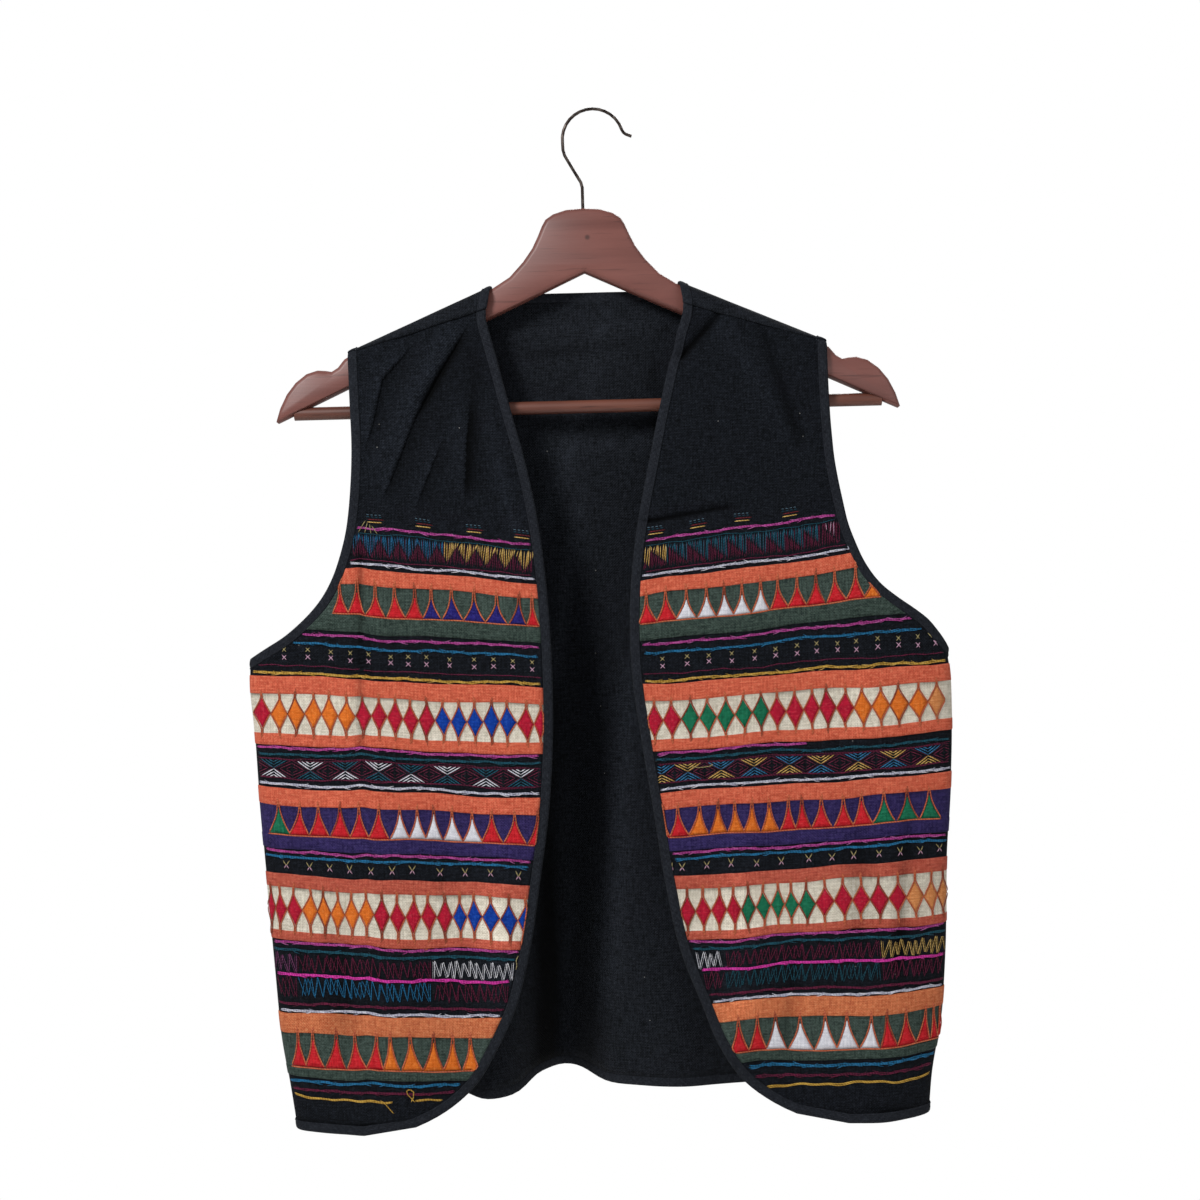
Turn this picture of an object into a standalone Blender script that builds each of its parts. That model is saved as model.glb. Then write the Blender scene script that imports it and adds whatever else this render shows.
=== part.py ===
"""A folk vest of black cotton with five applied bands on each front, worn open, on a wooden hanger.

Metres, +Z up. +X is the wearer's left, and the fronts face -Y. The origin is the inside top of the
hanger's hook, where a rail carries it. The cloth and the hanger's board are centred on the hook's stem.
"""

import math

import bmesh
import bpy
import numpy as np

# Sizes shared by every piece
STEM_X = -0.0085  # the stem stands this far to the wearer's right of the hook's crown
WALL = 0.0012  # the cotton, as a wall
BAND_WALL = 0.0010  # an applied band
BINDING_WALL = 0.0020  # folded bias binding
BINDING_SHIFT = 0.3  # share of half the binding's thickness that it stands outside the cloth's middle
BINDING_WIDTH = 0.0085
SEAM_GAP = 0.0003
BENT_SEAM_GAP = 0.0006  # where the cloth turns sharply beside a seam
SEAM_HALF = 0.00025  # a side seam's edge stands this far from the seam's plane
BAND_END = 0.0008  # a band stops this far short of the panel's edge

# Rows run across a front as the bands do. A row is named by its ruler: how far below the origin it
# lies at INNER_X from the stem. It climbs towards the side by its slope.
INNER_X = 0.060
ROW_TABLE = (  # ruler, slope on the wearer's right, slope on the left, lift on the left
    (0.1385, -0.300, -0.300, 0.000),
    (0.2300, -0.060, -0.060, 0.000),
    (0.3000, 0.122, 0.118, 0.000),
    (0.3400, 0.108, 0.104, 0.000),
    (0.3800, 0.084, 0.080, 0.000),
    (0.4120, 0.068, 0.042, 0.000),
    (0.4600, 0.060, 0.036, 0.000),
    (0.5520, 0.060, 0.034, 0.003),
    (0.6000, 0.052, 0.030, 0.004),
    (0.6450, 0.036, 0.022, 0.007),
    (0.6900, 0.030, 0.018, 0.008),
    (0.7200, 0.020, 0.020, 0.000),
)
SEAM_RULER = 0.1385
ARMPIT_RULER = 0.4085
ARMHOLE_BOW_Z = -0.3300  # below this the armhole's edge runs more along the rows than across them
ARMPIT_TURN = 0.0140  # the armhole's edge runs straight over this last stretch to the side seam
HEM_RULER = 0.7287

FRONT_EDGE = (  # z, distance of the folded front edge from the stem on the wearer's right, on the left
    (-0.1380, 0.0700, 0.0700),
    (-0.1480, 0.0713, 0.0695),
    (-0.1600, 0.0688, 0.0658),
    (-0.1750, 0.0650, 0.0615),
    (-0.2100, 0.0565, 0.0525),
    (-0.2570, 0.0447, 0.0420),
    (-0.3020, 0.0367, 0.0325),
    (-0.3550, 0.0318, 0.0262),
    (-0.4040, 0.0300, 0.0262),
    (-0.4550, 0.0310, 0.0320),
    (-0.5000, 0.0347, 0.0385),
    (-0.5510, 0.0425, 0.0455),
    (-0.6000, 0.0510, 0.0550),
    (-0.6400, 0.0622, 0.0695),
    (-0.6700, 0.0768, 0.0813),
    (-0.6920, 0.0905, 0.0952),
    (-0.7080, 0.1085, 0.1135),
    (-0.7190, 0.1305, 0.1340),
    (-0.7245, 0.1500, 0.1510),
    (-0.7265, 0.1720, 0.1720),
)
SIDE = (  # z, half width at the side seam on the wearer's right, on the left
    (-0.7270, 0.2215, 0.2310),
    (-0.6970, 0.2255, 0.2342),
    (-0.6610, 0.2310, 0.2412),
    (-0.6100, 0.2350, 0.2462),
    (-0.5450, 0.2392, 0.2488),
    (-0.4900, 0.2428, 0.2532),
    (-0.4400, 0.2452, 0.2552),
    (-0.4080, 0.2475, 0.2545),
    (-0.3880, 0.2470, 0.2518),
)
ARMHOLE = (  # z, distance of the folded edge from the stem on the right, on the left, from the armpit
    (-0.3880, 0.2470, 0.2518),
    (-0.3810, 0.2345, 0.2465),
    (-0.3730, 0.2210, 0.2400),
    (-0.3645, 0.2102, 0.2295),
    (-0.3560, 0.2012, 0.2175),
    (-0.3450, 0.1922, 0.2045),
    (-0.3320, 0.1850, 0.1952),
    (-0.3170, 0.1795, 0.1885),
    (-0.3030, 0.1757, 0.1835),
    (-0.2850, 0.1728, 0.1797),
    (-0.2600, 0.1705, 0.1755),
    (-0.2350, 0.1697, 0.1735),
    (-0.2000, 0.1706, 0.1724),
    (-0.1600, 0.1716, 0.1724),
)
RIDGE_X, RIDGE_Z, RIDGE_FALL = 0.0665, -0.1247, 0.430  # the shoulder's ridge, along the hanger
RIDGE_ROUND = 0.0070  # how far below the ridge the cloth has turned to hang straight
NECK_Z = -0.1290  # the back neck's folded edge
BACK_HEM_Z = -0.7070  # the back's hem at the middle, higher than at the side seams

DEPTHS = (  # z, how far the fronts stand before the hanger's plane, how far the back stands behind it
    (-0.7300, 0.034, 0.016),
    (-0.5500, 0.031, 0.021),
    (-0.4000, 0.026, 0.024),
    (-0.3300, 0.022, 0.022),
    (-0.2500, 0.0165, 0.018),
    (-0.1750, 0.0112, 0.0125),
    (-0.1200, 0.0105, 0.0108),
)
LENS = 0.60  # the hanging tube's section: 1 is round, towards 0 is boxy

# The largest folds. A fold runs from its top to its foot; its depth is away from the wearer at the foot.
FOLDS = (  # face, x at top, z at top, x at foot, z at foot, half width, depth at top, depth at foot
    ("front", -0.088, -0.150, -0.150, -0.275, 0.0100, -0.0026, -0.0012),
    ("front", -0.125, -0.160, -0.162, -0.235, 0.0090, -0.0018, -0.0010),
    ("front", 0.070, -0.175, 0.098, -0.150, 0.0080, -0.0016, -0.0016),
    ("front", -0.168, -0.330, -0.150, -0.740, 0.0260, 0.0010, 0.0060),
    ("front", -0.105, -0.400, -0.095, -0.740, 0.0240, 0.0000, -0.0050),
    ("front", 0.150, -0.300, 0.112, -0.740, 0.0250, -0.0010, -0.0060),
    ("front", 0.212, -0.420, 0.196, -0.740, 0.0240, 0.0010, 0.0080),
    ("back", -0.012, -0.330, -0.020, -0.740, 0.0330, 0.0000, 0.0480),
    ("back", 0.120, -0.260, 0.150, -0.740, 0.0400, 0.0000, 0.0300),
    ("back", -0.120, -0.260, -0.158, -0.740, 0.0380, 0.0000, 0.0270),
    ("back", 0.030, -0.360, 0.055, -0.740, 0.0260, 0.0000, -0.0080),
    ("back", -0.070, -0.380, -0.086, -0.740, 0.0240, 0.0000, -0.0090),
)

BANDS = {  # the applied bands' rulers: upper edge, middle, lower edge
    "a": (0.3375, 0.3590, 0.3805),
    "b": (0.4120, 0.4358, 0.4598),
    "c": (0.4900, 0.5117, 0.5334),
    "d": (0.5517, 0.5748, 0.5980),
    "e": (0.6459, 0.6683, 0.6907),
}
TOP_RULER = SEAM_RULER + BENT_SEAM_GAP / 2
FOOT_RULER = HEM_RULER - BINDING_WIDTH - SEAM_GAP
PLAIN_RULERS = (
    0.1430, 0.1500, 0.1640, 0.1840, 0.2050, 0.2250, 0.2450, 0.2650, 0.2850, 0.3030, 0.3200,
    0.3885, 0.3960, 0.4030, 0.4056, 0.4075, 0.4750, 0.5425, 0.6140, 0.6300, 0.7000, 0.7080, 0.7145,
)
RULERS = sorted({TOP_RULER, FOOT_RULER, ARMPIT_RULER, *PLAIN_RULERS, *sum(BANDS.values(), ())})
BACK_TOP_RULER = 0.1640  # the back's rows meet the fronts' from here down
FRONT_COLUMNS = 12
HALF_COLUMNS = 20  # across half of the back
NECK_COLUMN = 8  # of those, inside the neck's edge

# The back's cloth over the hanger, by the length of cloth from the ridge, forwards if negative.
SHOULDER_ROWS = (  # length, as a share of the way to the seam if negative; neck edge from the stem
    (-1.0, None),
    (-0.62, 0.0782),
    (-0.36, 0.0768),
    (-0.17, 0.0759),
    (0.0000, 0.0753),
    (0.0033, 0.0752),
    (0.0066, 0.0748),
    (0.0094, 0.0738),
)
NECK_CORNER_X, NECK_CORNER_ARC = 0.0712, 0.0135
NECK_ROW_ARC = 0.0172

# The hanger, from the stem
BOARD_HALF = 0.0060
BOARD_EDGE = 0.0035
BOARD_TIP_CUT = 0.0012
CROWN_Z = -0.0705
ARCH_Z = -0.1168
ARM_FALL = 0.460  # the underside of an arm
CLOTH_TO_ARM = 0.0018  # from the cloth's middle at the ridge down to the arm
NOTCH_START_X = 0.1640
CROWN_TOP = (  # x, z of the board's upper outline from its crown to the neck
    (0.0000, CROWN_Z), (0.0120, -0.0713), (0.0215, -0.0742), (0.0272, -0.0780), (0.0300, -0.0830),
    (0.0330, -0.0900), (0.0372, -0.0985), (0.0440, -0.1080), (0.0540, -0.1187),
)
ARM_TIP = (  # x, z round the notch to the tip
    (0.1745, -0.1748), (0.1792, -0.1806), (0.1838, -0.1834), (0.1880, -0.1826), (0.1940, -0.1822),
    (0.2020, -0.1846), (0.2100, -0.1908), (0.2165, -0.1990), (0.2215, -0.2090), (0.2245, -0.2185),
)
BAR_Z, BAR_RADIUS, BAR_END = -0.2130, 0.0047, 0.2115
BAR_SIDES = 20
WIRE_RADIUS = 0.0016
HOOK_RADIUS = 0.0220  # of the wire's middle
HOOK_START, HOOK_END, HOOK_STEPS = 186, 17, 14  # degrees from +X
HOOK_SHANK = (  # x, z of the wire's middle from its foot in the board to the hook's round
    (STEM_X, -0.0810), (STEM_X, -0.0670), (STEM_X, -0.0550), (-0.0094, -0.0513), (-0.0113, -0.0480),
    (-0.0160, -0.0398), (-0.0206, -0.0316), (-0.0217, -0.0275),
)
HOOK_LIP = ((0.0222, -0.0160), (0.0240, -0.0174), (0.0282, -0.0190))
SOCKET_SIDES = 24

CLOTH = (0.014, 0.015, 0.019, 1.0)
BINDING_CLOTH = (0.022, 0.022, 0.025, 1.0)
BAND_CLOTH = (0.62, 0.16, 0.05, 1.0)
WOOD = (0.105, 0.030, 0.018, 1.0)
WIRE = (0.060, 0.050, 0.045, 1.0)


def column(table, index):
    return [row[index] for row in table]


def by_side(table, side):
    """A table's values for one side: -1 is the wearer's right and +1 the left."""
    return column(table, 1 if side < 0 else 2)


def smooth_at(knots, values, at):
    """A smooth curve through a table's rows, read at one place or at several."""
    knots, values = np.asarray(knots, float), np.asarray(values, float)
    if knots[0] > knots[-1]:
        knots, values = knots[::-1], values[::-1]
    tangents = np.gradient(values, knots)
    at = np.clip(at, knots[0], knots[-1])
    i = np.clip(np.searchsorted(knots, at) - 1, 0, len(knots) - 2)
    span = knots[i + 1] - knots[i]
    t = (at - knots[i]) / span
    rise = values[i] * (2 * t**3 - 3 * t**2 + 1) + values[i + 1] * (3 * t**2 - 2 * t**3)
    bend = tangents[i] * (t**3 - 2 * t**2 + t) + tangents[i + 1] * (t**3 - t**2)
    return rise + span * bend


def unit(vector):
    return vector / np.linalg.norm(vector)


def half_width(side, z):
    return float(smooth_at(column(SIDE, 0), by_side(SIDE, side), z))


def row_z(side, ruler, x):
    """The height of a row at distance x from the stem."""
    rulers = column(ROW_TABLE, 0)
    slope = np.interp(ruler, rulers, by_side(ROW_TABLE, side))
    lift = np.interp(ruler, rulers, column(ROW_TABLE, 3)) if side > 0 else 0.0
    return lift - ruler + slope * (x - INNER_X)


def ridge_z(x):
    return RIDGE_Z - RIDGE_FALL * max(0.0, x - RIDGE_X)


def fold_depth(face, x, z):
    """How far the folds move the cloth away from the wearer at (x, z)."""
    total = 0.0
    for where, x_top, z_top, x_foot, z_foot, width, at_top, at_foot in FOLDS:
        if where != face:
            continue
        run, fall = x_foot - x_top, z_foot - z_top
        t = ((x - x_top) * run + (z - z_top) * fall) / (run**2 + fall**2)
        aside = math.hypot(x - x_top - t * run, z - z_top - t * fall)
        beyond = max(0.0, -t, t - 1) * math.hypot(run, fall)
        t = min(max(t, 0.0), 1.0)
        depth = at_top + (at_foot - at_top) * t * t * (3 - 2 * t)
        total += depth * math.exp(-((aside / width) ** 2) - (beyond / 0.02) ** 2)
    return total


def place(face, side, x, z):
    """The point of the cloth's middle at distance x from the stem and height z."""
    closeness = math.sqrt(max(0.0, 1 - (x / half_width(side, z)) ** 2))
    drop = min(max(ridge_z(x) - z, 0.0), RIDGE_ROUND) / RIDGE_ROUND
    turned = math.sqrt(1 - (1 - drop) ** 2)
    level = float(smooth_at(column(DEPTHS, 0), column(DEPTHS, 1 if face == "front" else 2), z))
    level *= closeness**LENS * turned
    y = SEAM_HALF + level + fold_depth(face, side * x, z) * min(1.0, 3 * closeness) * turned
    return np.array((side * x, -y if face == "front" else y, z))


def edge_line(table, side, by):
    """Close points along a folded edge, moved by a distance to the left of its direction."""
    points = np.array(list(zip(by_side(table, side), column(table, 0), strict=True)))
    along = np.concatenate([[0], np.cumsum(np.hypot(*np.diff(points, axis=0).T))])
    at = np.linspace(0, along[-1], round(along[-1] / 0.002))
    line = np.stack([smooth_at(along, points[:, k], at) for k in (0, 1)], axis=1)
    run = np.gradient(line, axis=0)
    run /= np.linalg.norm(run, axis=1)[:, None]
    return line + by * np.stack([-run[:, 1], run[:, 0]], axis=1)


def crossing(line, side, ruler):
    """Where a line that runs down first meets a row, as (x, z)."""
    above = np.array([z - row_z(side, ruler, x) for x, z in line])
    i = int(np.argmax(above <= 0))
    t = above[i - 1] / (above[i - 1] - above[i])
    return line[i - 1] + t * (line[i] - line[i - 1])


def armhole_line(side):
    """The panels' edge along the armhole, from the shoulder down to the armpit."""
    width = half_width(side, -ARMPIT_RULER)
    line = edge_line(ARMHOLE, side, BINDING_WIDTH + SEAM_GAP)[::-1]
    return np.array([*line[line[:, 0] < width - ARMPIT_TURN], (width, row_z(side, ARMPIT_RULER, width))])


def row_end(side, ruler):
    """Where a row ends, as (x, z): at the armhole's binding or, from the armpit down, at the seam."""
    if ruler < ARMPIT_RULER:
        return crossing(armhole_line(side), side, ruler)
    width = half_width(side, row_z(side, ruler, half_width(side, -ruler)))
    z = row_z(side, ruler, width)
    return half_width(side, z), z


def across(side, start, end, shares):
    """Places (x, z) between two ends of a row, evenly by their angle round the hanging tube."""
    width = half_width(side, end[1])
    angles = [math.asin(min(1.0, x / width)) for x in (start[0], end[0])]
    for share in shares:
        x = width * math.sin(angles[0] + (angles[1] - angles[0]) * share)
        yield x, start[1] + (end[1] - start[1]) * (x - start[0]) / (end[0] - start[0])


def front_grid(side):
    """A front's points, row by row from the shoulder seam to the hem, each from its edge outwards."""
    edge = edge_line(FRONT_EDGE, side, BINDING_WIDTH + SEAM_GAP)
    shares = [j / FRONT_COLUMNS for j in range(FRONT_COLUMNS + 1)]
    rows = []
    for ruler in RULERS:
        ends = crossing(edge, side, ruler), row_end(side, ruler)
        rows.append([place("front", side, x, z) for x, z in across(side, *ends, shares)])
    return np.array(rows)


def shoulder_arc(x, z):
    """How far the cloth runs from the ridge down to height z."""
    drop = ridge_z(x) - z
    if drop >= RIDGE_ROUND:
        return RIDGE_ROUND * math.pi / 2 + drop - RIDGE_ROUND
    return RIDGE_ROUND * math.acos(1 - max(drop, 0.0) / RIDGE_ROUND)


def shoulder_point(side, x, arc):
    """The point of the cloth over the hanger at a length of cloth from the ridge."""
    turn = min(abs(arc) / RIDGE_ROUND, math.pi / 2)
    straight = max(0.0, abs(arc) - RIDGE_ROUND * math.pi / 2)
    z = ridge_z(x) - RIDGE_ROUND * (1 - math.cos(turn)) - straight
    return place("front" if arc < 0 else "back", side, x, z)


def shoulder_half(side, step, neck_x):
    """Half a row of the back over the shoulder, from the stem outwards."""
    x_tip, _ = row_end(side, TOP_RULER)
    if neck_x is None:
        neck_x = crossing(edge_line(FRONT_EDGE, side, BINDING_WIDTH + SEAM_GAP), side, TOP_RULER)[0]
    row = []
    for j in range(HALF_COLUMNS + 1):
        if j <= NECK_COLUMN:
            x = neck_x * j / NECK_COLUMN
        else:
            x = neck_x + (x_tip - neck_x) * (j - NECK_COLUMN) / (HALF_COLUMNS - NECK_COLUMN)
        arc = step
        if step < 0:
            seam_x = max(x, RIDGE_X)
            arc = step * shoulder_arc(seam_x, row_z(side, SEAM_RULER, seam_x) + BENT_SEAM_GAP / 2)
        row.append(shoulder_point(side, x, arc))
    return row


def neck_half(side):
    """Half of the back's row along the neck, from the stem outwards."""
    x_tip, _ = row_end(side, TOP_RULER)
    row = []
    for j in range(HALF_COLUMNS + 1):
        if j < NECK_COLUMN:
            x = NECK_CORNER_X * j / NECK_COLUMN
            z = NECK_Z - BINDING_WIDTH - SEAM_GAP + (0.0008 if j == NECK_COLUMN - 1 else 0.0)
            row.append(place("back", side, x, z))
        else:
            share = (j - NECK_COLUMN) / (HALF_COLUMNS - NECK_COLUMN)
            x = NECK_CORNER_X + (x_tip - NECK_CORNER_X) * share
            arc = min(NECK_ROW_ARC, NECK_CORNER_ARC + 0.0020 * (j - NECK_COLUMN))
            row.append(shoulder_point(side, x, arc))
    return row


def back_half(side, ruler):
    """Half of a row of the back, level at the middle, meeting the front's row at the side seam."""
    top_z = NECK_Z - BINDING_WIDTH - SEAM_GAP - 0.012
    foot_z = BACK_HEM_Z + BINDING_WIDTH + SEAM_GAP
    middle_z = np.interp(ruler, (BACK_TOP_RULER, FOOT_RULER), (top_z, foot_z))
    x_end, z_end = row_end(side, ruler)
    shares = [j / HALF_COLUMNS for j in range(HALF_COLUMNS + 1)]
    row = []
    for share, (x, _) in zip(shares, across(side, (0.0, middle_z), (x_end, z_end), shares), strict=True):
        row.append(place("back", side, x, middle_z + (z_end - middle_z) * share**2.2))
    return row


def back_grid():
    """The back's points, from the seams on the front over the shoulders and down to the hem."""
    halves = [{side: shoulder_half(side, *row) for side in (-1, 1)} for row in SHOULDER_ROWS]
    halves.append({side: neck_half(side) for side in (-1, 1)})
    for ruler in RULERS:
        if ruler >= BACK_TOP_RULER:
            halves.append({side: back_half(side, ruler) for side in (-1, 1)})
    return np.array([half[-1][:0:-1] + half[1] for half in halves])


def normals_of(grid, sign):
    """The directions out of the cloth at a grid's points."""
    normal = np.cross(np.gradient(grid, axis=1), np.gradient(grid, axis=0))
    return sign * normal / np.linalg.norm(normal, axis=2)[..., None]


def hanging_normal(face, side, point):
    """The direction out of the hanging cloth at one of its points, under the shoulders."""
    width = half_width(side, point[2])
    angle = min(math.asin(min(1.0, abs(point[0]) / width)), 1.5)
    sideways, downwards = (
        place(face, side, width * math.sin(angle + turn), point[2] + drop)
        - place(face, side, width * math.sin(angle - turn), point[2] - drop)
        for turn, drop in ((0.04, 0.0), (0.0, 0.001))
    )
    normal = unit(np.cross(sideways, downwards))
    return normal if (normal[1] < 0) == (face == "front") else -normal


def new_object(name, mesh, color, roughness, metallic=0.0):
    obj = bpy.data.objects.new(name, mesh)
    finish_object(obj, color, roughness, metallic)
    return obj


def finish_object(obj, color, roughness, metallic=0.0):
    """Puts an object in the model's collection, on the stem's axis, with its material."""
    for other in list(obj.users_collection):
        other.objects.unlink(obj)
    MODEL.objects.link(obj)
    material = bpy.data.materials.new(obj.name)
    material.use_nodes = True
    shader = material.node_tree.nodes["Principled BSDF"]
    shader.inputs["Base Color"].default_value = color
    shader.inputs["Roughness"].default_value = roughness
    shader.inputs["Metallic"].default_value = metallic
    obj.data.materials.clear()
    obj.data.materials.append(material)
    obj.parent = STEM


def sheet(name, grid, normals, thickness, color, shift=0.0, closed=False, kept=None):
    """A cloth wall lofted through rows of points. shift moves it outwards, as Solidify's offset does."""
    count = grid.shape[1]
    faces = []
    facing = 0.0
    for i in range(len(grid) if closed else len(grid) - 1):
        below = (i + 1) % len(grid)
        for j in range(count - 1):
            if kept is None or kept(i, j):
                faces.append((i * count + j, below * count + j, below * count + j + 1, i * count + j + 1))
                diagonals = grid[below, j + 1] - grid[i, j], grid[i, j + 1] - grid[below, j]
                facing += np.cross(*diagonals) @ normals[i, j]
    if facing < 0:
        faces = [face[::-1] for face in faces]
    mesh = bpy.data.meshes.new(name)
    mesh.from_pydata(grid.reshape(-1, 3).tolist(), [], faces)
    editor = bmesh.new()
    editor.from_mesh(mesh)
    loose = [v for v in editor.verts if not v.link_faces]
    bmesh.ops.delete(editor, geom=loose, context="VERTS")
    editor.to_mesh(mesh)
    editor.free()
    solidify = new_object(name, mesh, color, 0.9).modifiers.new("Wall", "SOLIDIFY")
    solidify.thickness = thickness
    solidify.offset = shift


def binding(name, edge, normals, beside, closed=False, ends=(None, None), gap=SEAM_GAP):
    """Bias binding beyond a panel's edge. beside holds the panel's points next to those of its edge,
    and ends the directions of the binding's ends where they meet another piece along a seam."""
    pairs = []
    last = len(edge) - 1
    for i, (point, normal) in enumerate(zip(edge, normals, strict=True)):
        runs = []
        if closed or i > 0:
            runs.append(point - edge[i - 1])
        if closed or i < last:
            runs.append(edge[(i + 1) % len(edge)] - point)
        outs = [unit(np.cross(run, normal)) for run in runs]
        out = unit(sum(outs))
        reach = 1 / max(0.75, out @ outs[0])
        if (beside[i] - point) @ out > 0:
            out = -out
        end = ends[0] if i == 0 else ends[1] if i == last else None
        if end is not None:
            reach = 1 / max(0.75, unit(end) @ out)
            out = unit(end)
        pairs.append([point + out * reach * far for far in (gap, gap + BINDING_WIDTH)])
    grid = np.array(pairs)
    facing = np.stack([normals, normals], axis=1)
    sheet(name, grid, facing, BINDING_WALL, BINDING_CLOTH, shift=BINDING_SHIFT, closed=closed)


def bands(side, name, grid, normals):
    """The bands sewn on a front, made from its own points, moved out."""
    for band, (top, _, foot) in BANDS.items():
        rows = slice(RULERS.index(top), RULERS.index(foot) + 1)
        lying = grid[rows].copy()
        for end, inside in ((0, 1), (-1, -2)):
            inwards = lying[:, inside] - lying[:, end]
            lying[:, end] += inwards * BAND_END / np.linalg.norm(inwards, axis=1)[:, None]
        lying += normals[rows] * (WALL / 2 + SEAM_GAP + BAND_WALL / 2)
        sheet(f"band_{band}_{name}", lying, normals[rows], BAND_WALL, BAND_CLOTH)


def front_binding(name, grid, normals):
    """The binding from the shoulder seam down the front edge, round the corner and along the hem."""
    edge = np.concatenate([grid[:, 0], grid[-1, 1:]])
    facing = np.concatenate([normals[:, 0], normals[-1, 1:]])
    beside = np.concatenate([grid[:, 1], grid[-2, 1:]])
    beside[len(grid) - 1] = grid[-2, 1]
    ends = grid[0, 0] - grid[0, 1], None
    binding("binding_front_" + name, edge, facing, beside, False, ends, BENT_SEAM_GAP)


def armhole_binding(side, name, front, front_normals, back, back_normals):
    """The ring of binding round an armhole, from the armpit up the front and down the back."""
    armpit = RULERS.index(ARMPIT_RULER)
    back_armpit = len(back) - (len(RULERS) - armpit)
    end, inside = (0, 1) if side < 0 else (-1, -2)
    edge = np.concatenate([front[armpit::-1, -1], back[: back_armpit + 1, end]])
    facing = np.concatenate([front_normals[armpit::-1, -1], back_normals[: back_armpit + 1, end]])
    beside = np.concatenate([front[armpit::-1, -2], back[: back_armpit + 1, inside]])
    beside[0] = front[armpit + 1, -1]
    beside[-1] = back[back_armpit + 1, end]
    for i, point in enumerate(edge):
        if point[2] < ARMHOLE_BOW_Z:
            facing[i] = hanging_normal("front" if point[1] < 0 else "back", side, point)
    up = np.array((0.0, 0.0, 1.0))
    binding("binding_armhole_" + name, edge, facing, beside, True, (up, up), BENT_SEAM_GAP)


def neck_binding(back, normals):
    """The binding from the wearer's right seam over the shoulders and along the back neck."""
    first, last = HALF_COLUMNS - NECK_COLUMN, HALF_COLUMNS + NECK_COLUMN
    row = len(SHOULDER_ROWS)

    def round_neck(grid, aside, below):
        sides = grid[:row, first - aside], grid[row - 1 :: -1, last + aside]
        return np.concatenate([sides[0], grid[row + below, first : last + 1], sides[1]])

    beside = round_neck(back, 1, 1)
    beside[row] = back[row, first - 1]
    beside[-row - 1] = back[row, last + 1]
    ends = back[0, first] - back[0, first - 1], back[0, last] - back[0, last + 1]
    binding("binding_neck", round_neck(back, 0, 0), round_neck(normals, 0, 0), beside, ends=ends)


def vest():
    """The back, the fronts with their bands, and the bindings that finish their edges."""
    back = back_grid()
    back_normals = normals_of(back, 1)
    neck_row = len(SHOULDER_ROWS)
    neck = range(HALF_COLUMNS - NECK_COLUMN, HALF_COLUMNS + NECK_COLUMN)
    sheet("back", back, back_normals, WALL, CLOTH, kept=lambda i, j: i >= neck_row or j not in neck)
    binding("binding_hem", back[-1], back_normals[-1], back[-2])
    neck_binding(back, back_normals)
    for side, name in ((-1, "right"), (1, "left")):
        front = front_grid(side)
        normals = normals_of(front, -side)
        sheet("front_" + name, front, normals, WALL, CLOTH)
        bands(side, name, front, normals)
        front_binding(name, front, normals)
        armhole_binding(side, name, front, normals, back, back_normals)


def as_mesh(curve_object, name):
    """A curve's solid as a welded mesh, so that it can be cut."""
    graph = bpy.context.evaluated_depsgraph_get()
    mesh = bpy.data.meshes.new_from_object(curve_object.evaluated_get(graph))
    editor = bmesh.new()
    editor.from_mesh(mesh)
    bmesh.ops.remove_doubles(editor, verts=editor.verts, dist=1e-5)
    bmesh.ops.recalc_face_normals(editor, faces=editor.faces)
    editor.to_mesh(mesh)
    editor.free()
    obj = bpy.data.objects.new(name, mesh)
    obj.matrix_world = curve_object.matrix_world
    bpy.data.objects.remove(curve_object)
    return obj


def drill(obj, name, radius, length, z, tilt):
    """Cuts a round hole along the stem's line or, tilted, along the bar's."""
    bpy.ops.mesh.primitive_cylinder_add(
        vertices=SOCKET_SIDES,
        radius=radius,
        depth=length,
        location=(0.0, 0.0, z),
        rotation=(0.0, tilt, 0.0),
    )
    cutter = bpy.context.object
    cutter.name = name
    for other in list(cutter.users_collection):
        other.objects.unlink(cutter)
    CUTTERS.objects.link(cutter)
    cutter.parent = STEM
    cutter.hide_render = True
    cutter.display_type = "WIRE"
    boolean = obj.modifiers.new(name, "BOOLEAN")
    boolean.operation = "DIFFERENCE"
    boolean.object = cutter


def hanger_board():
    """The hanger's flat wooden board: crown, sloping arms with a notch each, and an arched underside."""
    arm = [(x, ridge_z(x) - CLOTH_TO_ARM) for x in (RIDGE_X, NOTCH_START_X)]
    tip_x = ARM_TIP[-1][0] - BOARD_TIP_CUT
    right = [*CROWN_TOP, *arm, *ARM_TIP, (tip_x, ARCH_Z - ARM_FALL * tip_x)]
    around = [*right, (0.0, ARCH_Z), *[(-x, z) for x, z in right[:0:-1]]]
    curve = bpy.data.curves.new("hanger_outline", "CURVE")
    curve.dimensions = "2D"
    curve.fill_mode = "BOTH"
    curve.extrude = BOARD_HALF - BOARD_EDGE
    curve.bevel_depth = BOARD_EDGE
    curve.offset = -BOARD_EDGE
    curve.bevel_resolution = 1
    spline = curve.splines.new("POLY")
    spline.points.add(len(around) - 1)
    for point, (x, z) in zip(spline.points, around, strict=True):
        point.co = (x, z, 0.0, 1.0)
    spline.use_cyclic_u = True
    flat = bpy.data.objects.new("hanger_outline", curve)
    MODEL.objects.link(flat)
    flat.rotation_euler = (math.pi / 2, 0.0, 0.0)
    bpy.context.view_layer.update()
    board = as_mesh(flat, "hanger_board")
    finish_object(board, WOOD, 0.35)
    drill(board, "bar_socket", BAR_RADIUS + SEAM_GAP, 2 * (BAR_END + SEAM_GAP), BAR_Z, math.pi / 2)
    depth = CROWN_Z - HOOK_SHANK[0][1] + SEAM_GAP
    drill(board, "stem_hole", WIRE_RADIUS + SEAM_GAP, 2 * depth, CROWN_Z, 0.0)


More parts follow.
